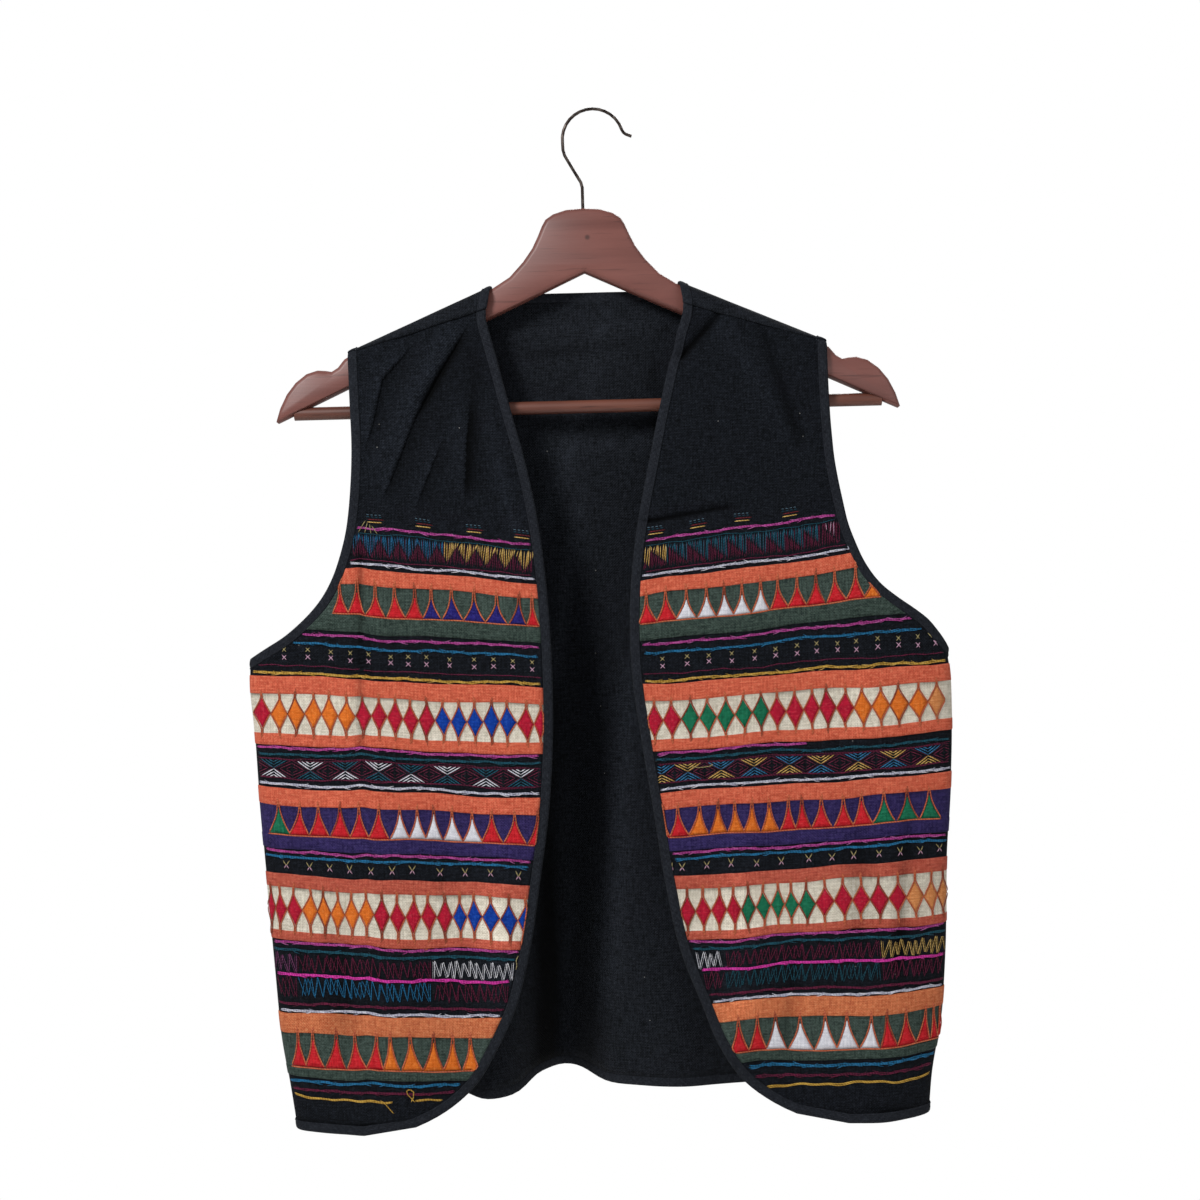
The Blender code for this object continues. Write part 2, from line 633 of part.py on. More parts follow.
def hanger_bar():
    """The round trouser bar, seated in the arms."""
    bpy.ops.mesh.primitive_cylinder_add(
        vertices=BAR_SIDES,
        radius=BAR_RADIUS,
        depth=2 * BAR_END,
        location=(0.0, 0.0, BAR_Z),
        rotation=(0.0, math.pi / 2, 0.0),
    )
    bar = bpy.context.object
    bar.name = "hanger_bar"
    finish_object(bar, WOOD, 0.4)


def hanger_hook():
    """The wire from its foot in the board up the shank, round the crown and out to its lip."""
    path = list(HOOK_SHANK)
    for k in range(HOOK_STEPS + 1):
        angle = math.radians(HOOK_START + (HOOK_END - HOOK_START) * k / HOOK_STEPS)
        z = WIRE_RADIUS - HOOK_RADIUS + HOOK_RADIUS * math.sin(angle)
        path.append((HOOK_RADIUS * math.cos(angle), z))
    path += HOOK_LIP
    curve = bpy.data.curves.new("hanger_hook", "CURVE")
    curve.dimensions = "3D"
    curve.bevel_depth = WIRE_RADIUS
    curve.bevel_resolution = 2
    curve.use_fill_caps = True
    spline = curve.splines.new("POLY")
    spline.points.add(len(path) - 1)
    for point, (x, z) in zip(spline.points, path, strict=True):
        point.co = (x - STEM_X, 0.0, z, 1.0)
    new_object("hanger_hook", curve, WIRE, 0.35, metallic=1.0)


for old in list(bpy.data.objects):
    bpy.data.objects.remove(old)
MODEL = bpy.data.collections.new("vest_on_hanger")
CUTTERS = bpy.data.collections.new("cutters")
bpy.context.scene.collection.children.link(MODEL)
bpy.context.scene.collection.children.link(CUTTERS)
STEM = bpy.data.objects.new("stem_axis", None)
STEM.location = (STEM_X, 0.0, 0.0)
MODEL.objects.link(STEM)
vest()
hanger_board()
hanger_bar()
hanger_hook()
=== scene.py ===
"""The looks of a folk vest with five applied bands on each front, worn open, on a wooden hanger.

Metres, +Z up. Places on the cloth are given as in the model's own source: a distance from the hanger's
stem, and a ruler, which is how far below the hook a row lies 60 mm from the stem.
"""

import math

import bmesh
import bpy
import numpy as np
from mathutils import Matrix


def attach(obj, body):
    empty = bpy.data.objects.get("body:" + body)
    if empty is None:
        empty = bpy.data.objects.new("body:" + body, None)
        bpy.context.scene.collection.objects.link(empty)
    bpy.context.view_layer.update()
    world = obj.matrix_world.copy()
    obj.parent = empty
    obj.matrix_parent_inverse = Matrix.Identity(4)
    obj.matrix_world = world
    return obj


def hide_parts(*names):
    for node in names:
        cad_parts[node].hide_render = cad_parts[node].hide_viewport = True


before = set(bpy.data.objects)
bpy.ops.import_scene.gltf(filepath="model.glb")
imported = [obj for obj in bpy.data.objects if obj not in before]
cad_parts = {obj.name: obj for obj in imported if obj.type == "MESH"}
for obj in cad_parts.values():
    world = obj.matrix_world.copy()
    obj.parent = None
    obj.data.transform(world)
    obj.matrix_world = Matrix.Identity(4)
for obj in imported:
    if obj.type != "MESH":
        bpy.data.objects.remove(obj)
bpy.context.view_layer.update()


def lengths(text):
    """A table's rows, which are given in millimetres and parted by semicolons, in metres."""
    return [[float(value) / 1000 for value in row.split()] for row in text.split(";")]


# Sizes of the cut and hung cloth, as in the model
STEM = np.array((-0.0085, 0.0, 0.0))
WALL = 0.0012
BINDING_WIDTH = 0.0058  # what shows of it; the solid's strip is 2.7 mm wider, under it
SEAM_GAP = 0.0003
BENT_SEAM_GAP = 0.0006
SEAM_HALF = 0.00025
BAND_END = 0.0003
INNER_X = 0.060
ROW_TABLE = (  # ruler, slope on the wearer's right, slope on the left, lift on the left
    (0.1385, -0.300, -0.300, 0.000), (0.2300, -0.060, -0.060, 0.000), (0.3000, 0.122, 0.118, 0.000),
    (0.3400, 0.108, 0.104, 0.000), (0.3800, 0.084, 0.080, 0.000), (0.4120, 0.068, 0.042, 0.000),
    (0.4600, 0.060, 0.036, 0.000), (0.5520, 0.060, 0.034, 0.003), (0.6000, 0.052, 0.030, 0.004),
    (0.6450, 0.036, 0.022, 0.007), (0.6900, 0.030, 0.018, 0.008), (0.7200, 0.020, 0.020, 0.000),
)
SEAM_RULER = 0.1385
ARMPIT_RULER = 0.4085
ARMHOLE_BOW_Z = -0.3300
ARMPIT_TURN = 0.0140
HEM_RULER = 0.7287
# z, distance of the folded front edge from the stem on the wearer's right, on the left
FRONT_EDGE = lengths("""
    -138 70 70; -148 71.3 69.5; -160 68.8 65.8; -175 65 61.5; -210 56.5 52.5; -257 44.7 42;
    -302 36.7 32.5; -355 31.8 26.2; -404 30 26.2; -455 31 32; -500 34.7 38.5; -551 42.5 45.5;
    -600 51 55; -640 62.2 69.5; -670 76.8 81.3; -692 90.5 95.2; -708 108.5 113.5; -719 130.5 134;
    -724.5 150 151; -726.5 172 172""")
# z, half width at the side seam on the wearer's right, on the left
SIDE = lengths("""
    -727 221.5 231; -697 225.5 234.2; -661 231 241.2; -610 235 246.2; -545 239.2 248.8;
    -490 242.8 253.2; -440 245.2 255.2; -408 247.5 254.5; -388 247 251.8""")
# z, distance of the folded edge from the stem on the right, on the left, from the armpit
ARMHOLE = lengths("""
    -388 247 251.8; -381 234.5 246.5; -373 221 240; -364.5 210.2 229.5; -356 201.2 217.5;
    -345 192.2 204.5; -332 185 195.2; -317 179.5 188.5; -303 175.7 183.5; -285 172.8 179.7;
    -260 170.5 175.5; -235 169.7 173.5; -200 170.6 172.4; -160 171.6 172.4""")
RIDGE_X, RIDGE_Z, RIDGE_FALL = 0.0665, -0.1247, 0.430
RIDGE_ROUND = 0.0070
NECK_Z = -0.1290
BACK_HEM_Z = -0.7070
# z, how far the fronts stand before the hanger's plane, how far the back stands behind it
DEPTHS = lengths("""
    -730 34 16; -550 31 21; -400 26 24; -330 22 22; -250 16.5 18; -175 11.2 12.5; -120 10.5 10.8""")
LENS = 0.60
# For each face: x at top, z at top, x at foot, z at foot, half width, depth at top, depth at foot
FOLDS = {
    "front": lengths("""
        -88 -150 -150 -275 10 -2.6 -1.2; -125 -160 -162 -235 9 -1.8 -1; 70 -175 98 -150 8 -1.6 -1.6;
        -168 -330 -150 -740 26 1 6; -105 -400 -95 -740 24 0 -5; 150 -300 112 -740 25 -1 -6;
        212 -420 196 -740 24 1 8"""),
    "back": lengths("""
        -12 -330 -32.5 -740 27.5 0 50; 120 -260 150 -740 40 0 30; -120 -260 -158 -740 38 0 27;
        30 -360 55 -740 26 0 -8; -70 -380 -86 -740 24 0 -9"""),
}
TOP_RULER = SEAM_RULER - 0.0002
FOOT_RULER = HEM_RULER - BINDING_WIDTH - SEAM_GAP
BACK_TOP_RULER = 0.1640
HALF_COLUMNS = 20
NECK_COLUMN = 8
SHOULDER_ROWS = (  # length, as a share of the way to the seam if negative; neck edge from the stem
    (-1.0, None), (-0.62, 0.0755), (-0.36, 0.0741), (-0.17, 0.0732),
    (0.0000, 0.0726), (0.0033, 0.0725), (0.0066, 0.0721), (0.0094, 0.0711),
)
NECK_CORNER_X, NECK_CORNER_ARC = 0.0685, 0.0126
NECK_ROW_ARC = 0.0172

# Finer creases, which the photograph shows pressed and pulled into the cloth, and their like behind
CREASES = {
    "front": lengths("""
        -100 -160 -143 -235 6 1 0.8; -79 -190 -86 -260 6 -0.8 -1; -70 -230 -56 -290 6 0.8 1.2;
        -164 -320 -167 -447 3 -1.8 -1.5; -145 -345 -143 -380 2.6 -0.4 -0.8;
        -112 -548 -113 -562 1.8 -1.1 -0.8; -190 -500 -184 -640 11 0.4 -1.2; -72 -430 -76 -620 12 0 1.4;
        -96 -172 -116 -205 3.4 -1.6 -2; 70 -178 93 -153 3 -2.6 -2; 101 -162 150 -250 7 0.8 0.4;
        130 -175 148 -235 5 -1 -1.4; 42 -297.5 96 -289 2.2 -2.4 -1.8; 188 -420 182 -580 10 0.4 -1.3;
        100 -430 96 -640 14 0 1.5; 218 -525 210 -605 6 -1.2 -1.8; 135 -615 128 -665 6 -0.8 -1.4"""),
    "back": lengths("""
        -95 -170 -150 -270 5 -1 -1.4; 90 -170 145 -260 6 -1 -1.2; 10 -160 -30 -290 7 0.6 1;
        48 -190 56 -330 6 -0.8 -1.2; -50 -210 -48 -380 7 0.6 -1.4; -35 -430 -45 -720 8 -1 -3.6;
        24 -410 2 -630 9 1.2 2.6; 95 -420 106 -720 11 0.6 -2.6; -115 -430 -118 -720 11 0.6 -2.4;
        175 -430 190 -700 12 0.4 2.6; -185 -440 -192 -700 12 0.4 2.4; -60 -245 45 -238 5 0.4 0.8;
        -50 -156 40 -153 3 0.8 0.6; -38 -172 30 -166 3.4 -0.9 -0.6; -10 -285 -28 -400 5 1 1.6"""),
}
# Sharp folds on the front: how far each shows, its height, and its places (x, z), raised towards the armhole
KNIFE_FOLDS = (
    (0.0110, 0.0011, lengths("-83 -150; -109.9 -190.9; -123.7 -216.8; -149.4 -279.4")),
    (0.0080, 0.0010, lengths("-122 -163; -147.1 -189.9; -153.3 -216; -160.6 -244.1")),
    (0.0060, 0.0008, lengths("-104 -233; -117 -264; -126.7 -288.8")),
    (0.0070, 0.0005, lengths("-84 -205; -88 -240; -90 -282")),
)
RIPPLES = (  # waves of hand-woven cloth: along x and z in radians a metre, phase, height
    (88.0, 21.0, 0.4, 0.00022), (-47.0, 64.0, 2.1, 0.00024), (151.0, -70.0, 4.4, 0.00014),
    (36.0, 187.0, 1.2, 0.00012), (240.0, 96.0, 5.3, 0.00008), (-206.0, 223.0, 3.0, 0.00007),
)
UNEVENNESS = (1, 61, 1.7), (0.7, 137, 2.9), (0.45, 331, 4.3)  # a hand's: share, radians a metre, turn a seed


def column(table, index):
    return [row[index] for row in table]


def by_side(table, side):
    """A table's values for one side: -1 is the wearer's right and +1 the left."""
    return column(table, 1 if side < 0 else 2)


def smooth_at(knots, values, at):
    """A smooth curve through a table's rows."""
    knots, values = np.asarray(knots, float), np.asarray(values, float)
    if knots[0] > knots[-1]:
        knots, values = knots[::-1], values[::-1]
    tangents = np.gradient(values, knots)
    at = np.clip(at, knots[0], knots[-1])
    i = np.clip(np.searchsorted(knots, at) - 1, 0, len(knots) - 2)
    span = knots[i + 1] - knots[i]
    t = (at - knots[i]) / span
    rise = values[i] * (2 * t**3 - 3 * t**2 + 1) + values[i + 1] * (3 * t**2 - 2 * t**3)
    bend = tangents[i] * (t**3 - 2 * t**2 + t) + tangents[i + 1] * (t**3 - t**2)
    return rise + span * bend


def half_width(side, z):
    return smooth_at(column(SIDE, 0), by_side(SIDE, side), z)


def row_z(side, ruler, x):
    rulers = column(ROW_TABLE, 0)
    slope = np.interp(ruler, rulers, by_side(ROW_TABLE, side))
    lift = np.interp(ruler, rulers, column(ROW_TABLE, 3)) if side > 0 else 0.0
    return lift - ruler + slope * (x - INNER_X)


def ridge_z(x):
    return RIDGE_Z - RIDGE_FALL * np.maximum(0.0, x - RIDGE_X)


def pressed(face, x, z, rows):
    """How far a table's folds move the cloth away from the wearer."""
    total = np.zeros(np.shape(x))
    for x_top, z_top, x_foot, z_foot, width, at_top, at_foot in rows[face]:
        run, fall = x_foot - x_top, z_foot - z_top
        length = math.hypot(run, fall)
        t = ((x - x_top) * run + (z - z_top) * fall) / length**2
        aside = np.hypot(x - x_top - t * run, z - z_top - t * fall)
        beyond = np.maximum(0.0, np.maximum(-t, t - 1)) * length
        t = np.clip(t, 0.0, 1.0)
        depth = at_top + (at_foot - at_top) * t * t * (3 - 2 * t)
        total += depth * np.exp(-((aside / width) ** 2) - (beyond / min(0.02, 3 * width)) ** 2)
    return total


def knifed(face, x, z, heights):
    """How far the sharp folds raise the cloth on one side of them and sink it on the other."""
    total = np.zeros(np.shape(x))
    for reach, height, places in KNIFE_FOLDS if face == "front" else ():
        nearest, signed, share = np.full(total.shape, 9.0), np.zeros(total.shape), np.zeros(total.shape)
        spans = [math.dist(one, two) for one, two in zip(places, places[1:], strict=False)]
        for k, span in enumerate(spans):
            one, two = places[k], places[k + 1]
            run, fall = (two[0] - one[0]) / span, (two[1] - one[1]) / span
            held = np.clip((x - one[0]) * run + (z - one[1]) * fall, 0, span)
            away = np.hypot(x - one[0] - held * run, z - one[1] - held * fall)
            left = np.sign((x - one[0]) * fall - (z - one[1]) * run)
            closer = away < nearest
            nearest = np.where(closer, away, nearest)
            signed = np.where(closer, left * away, signed)
            share = np.where(closer, (sum(spans[:k]) + held) / sum(spans), share)
        taper = np.clip(np.minimum(share, 1 - share) * sum(spans) / 0.016, 0, 1)
        sunk = signed <= 0
        raised = np.where(sunk, -1, 1) * np.exp(-np.abs(signed) / np.where(sunk, 0.9 * reach, reach))
        total += (height if heights else 1.0) * taper * raised
    return total


def relief(face, x, z):
    """How far folds, creases and ripples move the cloth away from the wearer."""
    total = pressed(face, x, z, FOLDS) + pressed(face, x, z, CREASES) + knifed(face, x, z, True)
    for along_x, along_z, phase, height in RIPPLES:
        total += height * np.sin(along_x * x + along_z * z + phase + (1.7 if face == "back" else 0.0))
    return total


def rubbed(face, x, z):
    """The folds' painted light: from -1, painted shade in a trough, to 1, a painted highlight on a ridge,
    with shade on the low side of each sharp fold and highlight on its raised side.
    """
    return np.clip(pressed(face, x, z, CREASES) / 0.0020 + 0.75 * knifed(face, x, z, False), -1, 1)


def place(face, side, x, z):
    """Points of the cloth's middle at distances x from the stem and heights z."""
    x, z = np.broadcast_arrays(np.asarray(x, float), np.asarray(z, float))
    closeness = np.sqrt(np.clip(1 - (x / half_width(side, z)) ** 2, 0, None))
    drop = np.clip(ridge_z(x) - z, 0, RIDGE_ROUND) / RIDGE_ROUND
    turned = np.sqrt(np.clip(1 - (1 - drop) ** 2, 0, None))
    level = smooth_at(column(DEPTHS, 0), column(DEPTHS, 1 if face == "front" else 2), z)
    level = level * closeness**LENS * turned
    y = SEAM_HALF + level + relief(face, side * x, z) * np.minimum(1.0, 3 * closeness) * turned
    return np.stack([side * x, -y if face == "front" else y, z], axis=-1)


def unit(vectors):
    return vectors / np.maximum(np.linalg.norm(vectors, axis=-1, keepdims=True), 1e-12)


def outward(face, side, x, z):
    """The directions out of the hanging cloth."""
    x, z = np.broadcast_arrays(np.asarray(x, float), np.asarray(z, float))
    width = half_width(side, z)
    angle = np.minimum(np.arcsin(np.minimum(1.0, x / width)), 1.52)
    one, other = (place(face, side, width * np.sin(angle + step), z) for step in (0.006, -0.006))
    sideways = one - other
    x = width * np.sin(angle)
    downwards = place(face, side, x, z - 0.0012) - place(face, side, x, z + 0.0012)
    normal = unit(np.cross(sideways, downwards))
    wrong = (normal[..., 1] > 0) == (face == "front")
    return np.where(wrong[..., None], -normal, normal)


def wander(x, seed, size):
    """A hand's unevenness along x, in metres."""
    x = np.asarray(x, float)
    waves = sum(share * np.sin(x * rate + seed * turn) for share, rate, turn in UNEVENNESS)
    return size * waves / 1.6


def sway(side, ruler, x):
    """How far the sewn rows stray from their rulers together, as the cloth was pulled in the sewing."""
    slow = np.sin(x * 44 + ruler * 31 + side) + 0.6 * np.sin(x * 97 - ruler * 53 + 2 * side)
    return 0.0006 * slow + 0.0009 * np.exp(-(((x - 0.1655) / 0.006) ** 2)) * (side < 0)


NET_STEP = 0.0010
NET_RULERS = np.arange(0.2860, 0.7225, NET_STEP)
NET_X = np.arange(0.0200, 0.2570, NET_STEP)


def net(side):
    """A front's points and outward directions over the net."""
    ruler, x = np.meshgrid(NET_RULERS, NET_X, indexing="ij")
    z = row_z(side, ruler, x) + sway(side, ruler, x)
    x = np.minimum(x, half_width(side, z) - 0.0002)
    return np.concatenate([place("front", side, x, z), outward("front", side, x, z)], axis=-1)


NETS = {side: net(side) for side in (-1, 1)}


def on_front(side, x, ruler, lift=0.0):
    """Points lifted off a front's outside, and the directions out of it there."""
    x, ruler, lift = np.broadcast_arrays(np.asarray(x, float), ruler, lift)
    down = np.clip((ruler - NET_RULERS[0]) / NET_STEP, 0, len(NET_RULERS) - 1.001)
    over = np.clip((x - NET_X[0]) / NET_STEP, 0, len(NET_X) - 1.001)
    i, j = down.astype(int), over.astype(int)
    down, over = (down - i)[..., None], (over - j)[..., None]
    knots = NETS[side]
    upper = knots[i, j] * (1 - over) + knots[i, j + 1] * over
    lower = knots[i + 1, j] * (1 - over) + knots[i + 1, j + 1] * over
    found = upper * (1 - down) + lower * down
    normal = unit(found[..., 3:])
    return found[..., :3] + normal * (WALL / 2 + lift)[..., None], normal


def edge_line(table, side, by):
    """Close points along a folded edge, moved by a distance to the left of its direction."""
    points = np.array(list(zip(by_side(table, side), column(table, 0), strict=True)))
    along = np.concatenate([[0], np.cumsum(np.hypot(*np.diff(points, axis=0).T))])
    at = np.linspace(0, along[-1], round(along[-1] / 0.002))
    line = np.stack([smooth_at(along, points[:, k], at) for k in (0, 1)], axis=1)
    run = unit(np.gradient(line, axis=0))
    return line + by * np.stack([-run[:, 1], run[:, 0]], axis=1)


def crossing(line, side, ruler):
    """Where a line that runs down first meets a row, as (x, z)."""
    above = line[:, 1] - row_z(side, ruler, line[:, 0])
    i = max(1, int(np.argmax(above <= 0)))
    t = above[i - 1] / (above[i - 1] - above[i])
    return line[i - 1] + t * (line[i] - line[i - 1])


def armhole_line(side):
    width = float(half_width(side, -ARMPIT_RULER))
    line = edge_line(ARMHOLE, side, BINDING_WIDTH + SEAM_GAP)[::-1]
    return np.array([*line[line[:, 0] < width - ARMPIT_TURN], (width, row_z(side, ARMPIT_RULER, width))])


EDGES = {side: edge_line(FRONT_EDGE, side, BINDING_WIDTH + SEAM_GAP) for side in (-1, 1)}
ARMHOLES = {side: armhole_line(side) for side in (-1, 1)}


def row_start(side, ruler):
    return crossing(EDGES[side], side, ruler)


def row_end(side, ruler):
    """Where a row ends: at the armhole's binding or, from the armpit down, at the seam."""
    if ruler < ARMPIT_RULER:
        return crossing(ARMHOLES[side], side, ruler)
    width = float(half_width(side, row_z(side, ruler, float(half_width(side, -ruler)))))
    z = float(row_z(side, ruler, width))
    return np.array((float(half_width(side, z)), z))


def across(side, start, end, shares):
    """Places (x, z) between two ends of a row, evenly by their angle round the hanging tube."""
    width = float(half_width(side, end[1]))
    angles = [math.asin(min(1.0, x / width)) for x in (start[0], end[0])]
    x = width * np.sin(angles[0] + (angles[1] - angles[0]) * np.asarray(shares))
    return x, start[1] + (end[1] - start[1]) * (x - start[0]) / (end[0] - start[0])


# Materials

def linear(colour):
    """An sRGB hex colour as the linear values that sockets take."""
    values = [int(colour[i : i + 2], 16) / 255 for i in (1, 3, 5)]
    return (*(v / 12.92 if v <= 0.04045 else ((v + 0.055) / 1.055) ** 2.4 for v in values), 1.0)


def add(tree, kind, inputs=(), out=0, **settings):
    """Adds a shader node with its settings and gives one of its outputs. Its inputs are outputs of other
    nodes to link, hex colours, or other values."""
    made = tree.nodes.new("ShaderNode" + kind)
    for name, value in settings.items():
        setattr(made, name, value)
    for key, value in dict(inputs).items():
        if isinstance(value, bpy.types.NodeSocket):
            tree.links.new(value, made.inputs[key])
        else:
            made.inputs[key].default_value = linear(value) if isinstance(value, str) else value
    return made.outputs[out]


def new_material(name, roughness, **values):
    """A material, its node tree and its shader, with the values that are the same all over."""
    material = bpy.data.materials.new(name)
    material.use_nodes = True
    shader = material.node_tree.nodes["Principled BSDF"]
    shader.inputs["Roughness"].default_value = roughness
    for key, value in values.items():
        shader.inputs[key.replace("_", " ")].default_value = value
    return material, material.node_tree, shader


def lead(tree, shader, outputs):
    for name, output in outputs.items():
        tree.links.new(output, shader.inputs[name])


def woven_cotton(name, light, dark, fleck, pitch, height, streak=0.32, turn=0.0, lint=0.0, sheen=0.03):
    """Plain-woven cotton, dyed in the yarn: matt, with each thread a little lighter or darker than the
    next. pitch is the thread spacing in metres, light, dark and fleck the colours of its threads."""
    shine = {"Sheen_Weight": sheen, "Sheen_Roughness": 0.5, "Specular_IOR_Level": 0.06}
    material, tree, shader = new_material(name, 0.92, **shine)
    cloth = add(tree, "UVMap", uv_map="cloth")
    lying = add(tree, "Mapping", {"Vector": cloth, "Rotation": (0.0, 0.0, turn)})
    waves, yarns = [], []
    for axis, stretch in (("X", (0.11, 1.0)), ("Y", (1.0, 0.11))):
        one = add(tree, "SeparateXYZ", {"Vector": lying}, axis)
        angle = add(tree, "Math", {0: one, 1: math.pi / pitch}, operation="MULTIPLY")
        waves.append(add(tree, "Math", {0: angle}, operation="SINE"))
        yarn = add(tree, "Mapping", {"Vector": lying, "Scale": (stretch[0] / pitch, stretch[1] / pitch, 1.0)})
        noise = {"Vector": yarn, "Scale": 0.9, "Detail": 2.0, "Roughness": 0.6}
        yarns.append(add(tree, "TexNoise", noise, noise_dimensions="2D"))
    over = add(tree, "Math", {0: waves[0], 1: waves[1]}, operation="MULTIPLY")
    uneven = add(tree, "Math", {0: yarns[0], 1: yarns[1]}, operation="ADD")
    shown = add(tree, "Math", {0: over, 1: 0.16, 2: uneven}, operation="MULTIPLY_ADD")
    blend = add(tree, "MapRange", {"Value": shown, "From Min": 1.0 - streak, "From Max": 1.0 + streak})
    colour = add(tree, "Mix", {"Factor": blend, 6: dark, 7: light}, 2, data_type="RGBA")
    specks = add(tree, "Mapping", {"Vector": cloth, "Scale": (420.0, 760.0, 1.0)})
    specks = add(tree, "TexNoise", {"Vector": specks, "Scale": 1.0, "Detail": 1.0}, noise_dimensions="2D")
    specks = add(tree, "MapRange", {"Value": specks, "From Min": 0.56, "From Max": 0.74, "To Max": 0.40})
    colour = add(tree, "Mix", {"Factor": specks, 6: colour, 7: fleck}, 2, data_type="RGBA")
    if lint:
        cells = add(tree, "TexVoronoi", {"Vector": cloth, "Scale": lint}, voronoi_dimensions="2D")
        cells = cells.node.outputs
        near = add(tree, "Math", {0: cells["Distance"], 1: 0.00042 * lint}, operation="LESS_THAN")
        chosen = add(tree, "SeparateXYZ", {"Vector": cells["Color"]})
        few = add(tree, "Math", {0: chosen, 1: 0.22}, operation="LESS_THAN")
        both = add(tree, "Math", {0: near, 1: few}, operation="MULTIPLY")
        faint = add(tree, "Math", {0: both, 1: 0.22}, operation="MULTIPLY")
        colour = add(tree, "Mix", {"Factor": faint, 6: colour, 7: "#c9c6c0"}, 2, data_type="RGBA")
    # Painted shade and highlight of the folds: the colour is drawn darker in their troughs and paler on their
    # ridges; pieces without this value keep their colour
    painted_crease_shade = add(tree, "Attribute", out="Fac", attribute_name="painted_crease_shade")
    shade = add(tree, "MapRange", {"Value": painted_crease_shade, "From Min": -1.0, "To Min": 0.16, "To Max": 1.84})
    painted_shade_colour = add(tree, "VectorMath", {0: colour, "Scale": shade}, operation="SCALE")
    raised = add(tree, "Math", {0: uneven, 1: 0.9, 2: over}, operation="MULTIPLY_ADD")
    bump = add(tree, "Bump", {"Height": raised, "Strength": 0.6, "Distance": height})
    lead(tree, shader, {"Base Color": painted_shade_colour, "Normal": bump})
    return material


def stranded_cotton(name, light, dark):
    """Embroidery cotton, mercerised and loosely twisted: a soft gloss, with a twist each 2 mm."""
    material, tree, shader = new_material(name, 0.7, Sheen_Weight=0.04, Specular_IOR_Level=0.12)
    thread = add(tree, "UVMap", uv_map="cloth")
    place = add(tree, "SeparateXYZ", {"Vector": thread}).node.outputs
    turns = add(tree, "Math", {0: place["Y"], 1: 1 / 0.0020, 2: place["X"]}, operation="MULTIPLY_ADD")
    angle = add(tree, "Math", {0: turns, 1: 2 * math.pi}, operation="MULTIPLY")
    twist = add(tree, "Math", {0: angle}, operation="SINE")
    worn = add(tree, "Mapping", {"Vector": thread, "Scale": (2.0, 260.0, 1.0)})
    worn = add(tree, "TexNoise", {"Vector": worn, "Scale": 1.0, "Detail": 2.0}, noise_dimensions="2D")
    shown = add(tree, "Math", {0: twist, 1: 0.22, 2: worn}, operation="MULTIPLY_ADD")
    blend = add(tree, "MapRange", {"Value": shown, "From Min": 0.2, "From Max": 0.8})
    colour = add(tree, "Mix", {"Factor": blend, 6: dark, 7: light}, 2, data_type="RGBA")
    bump = add(tree, "Bump", {"Height": twist, "Strength": 0.5, "Distance": 0.00012})
    lead(tree, shader, {"Base Color": colour, "Normal": bump})
    return material


def stained_wood(name, light, dark, pores, roughness, knot=None):
    """Hardwood planed, stained and varnished: long grain along the piece, with fine dark pores."""
    material, tree, shader = new_material(name, roughness, Coat_Weight=0.10, Coat_Roughness=0.30)
    at = add(tree, "TexCoord", out="Object")
    noises = []
    for scale, detail in (((5.0, 70.0, 60.0), 4.0), ((22.0, 620.0, 620.0), 3.0), ((9.0, 24.0, 14.0), 2.0)):
        laid = add(tree, "Mapping", {"Vector": at, "Scale": scale})
        noise = {"Vector": laid, "Scale": 1.0, "Detail": detail, "Distortion": 0.4}
        noises.append(add(tree, "TexNoise", noise))
    grain, fine, cloudy = noises
    layers = [(grain, light, 0.34, 0.66, 1.0)]
    layers += [(fine, pores, 0.60, 0.72, 0.55), (cloudy, pores, 0.3, 0.75, 0.28)]
    if knot:
        away = add(tree, "VectorMath", {0: at, 1: knot}, "Value", operation="DISTANCE")
        layers.append((away, pores, 0.0024, 0.0010, 0.8))
    colour = dark
    for value, stain, least, most, share in layers:
        shown = add(tree, "MapRange", {"Value": value, "From Min": least, "From Max": most, "To Max": share})
        colour = add(tree, "Mix", {"Factor": shown, 6: colour, 7: stain}, 2, data_type="RGBA")
    bump = add(tree, "Bump", {"Height": fine, "Strength": 0.25, "Distance": 0.0003})
    lead(tree, shader, {"Base Color": colour, "Normal": bump})
    return material


def drawn_wire(name):
    """Mild steel wire, drawn and blackened: dark, with a soft gloss and lighter worn places."""
    material, tree, shader = new_material(name, 0.38, Metallic=1.0)
    at = add(tree, "TexCoord", out="Object")
    rubbed = add(tree, "TexNoise", {"Vector": at, "Scale": 260.0, "Detail": 3.0})
    spread = add(tree, "MapRange", {"Value": rubbed, "From Min": 0.42, "From Max": 0.72})
    colour = add(tree, "Mix", {"Factor": spread, 6: "#37302d", 7: "#6f655f"}, 2, data_type="RGBA")
    gloss = add(tree, "MapRange", {"Value": rubbed, "To Min": 0.28, "To Max": 0.52})
    lead(tree, shader, {"Base Color": colour, "Roughness": gloss})
    return material


def painted_floor():
    """A pale studio floor, painted matt, with the faintest mottling."""
    material, tree, shader = new_material("floor_paint_matt", 0.85)
    at = add(tree, "TexCoord", out="Object")
    mottled = add(tree, "TexNoise", {"Vector": at, "Scale": 3.0, "Detail": 3.0})
    colour = add(tree, "Mix", {"Factor": mottled, 6: "#e9e7e3", 7: "#f3f2ef"}, 2, data_type="RGBA")
    lead(tree, shader, {"Base Color": colour})
    return material


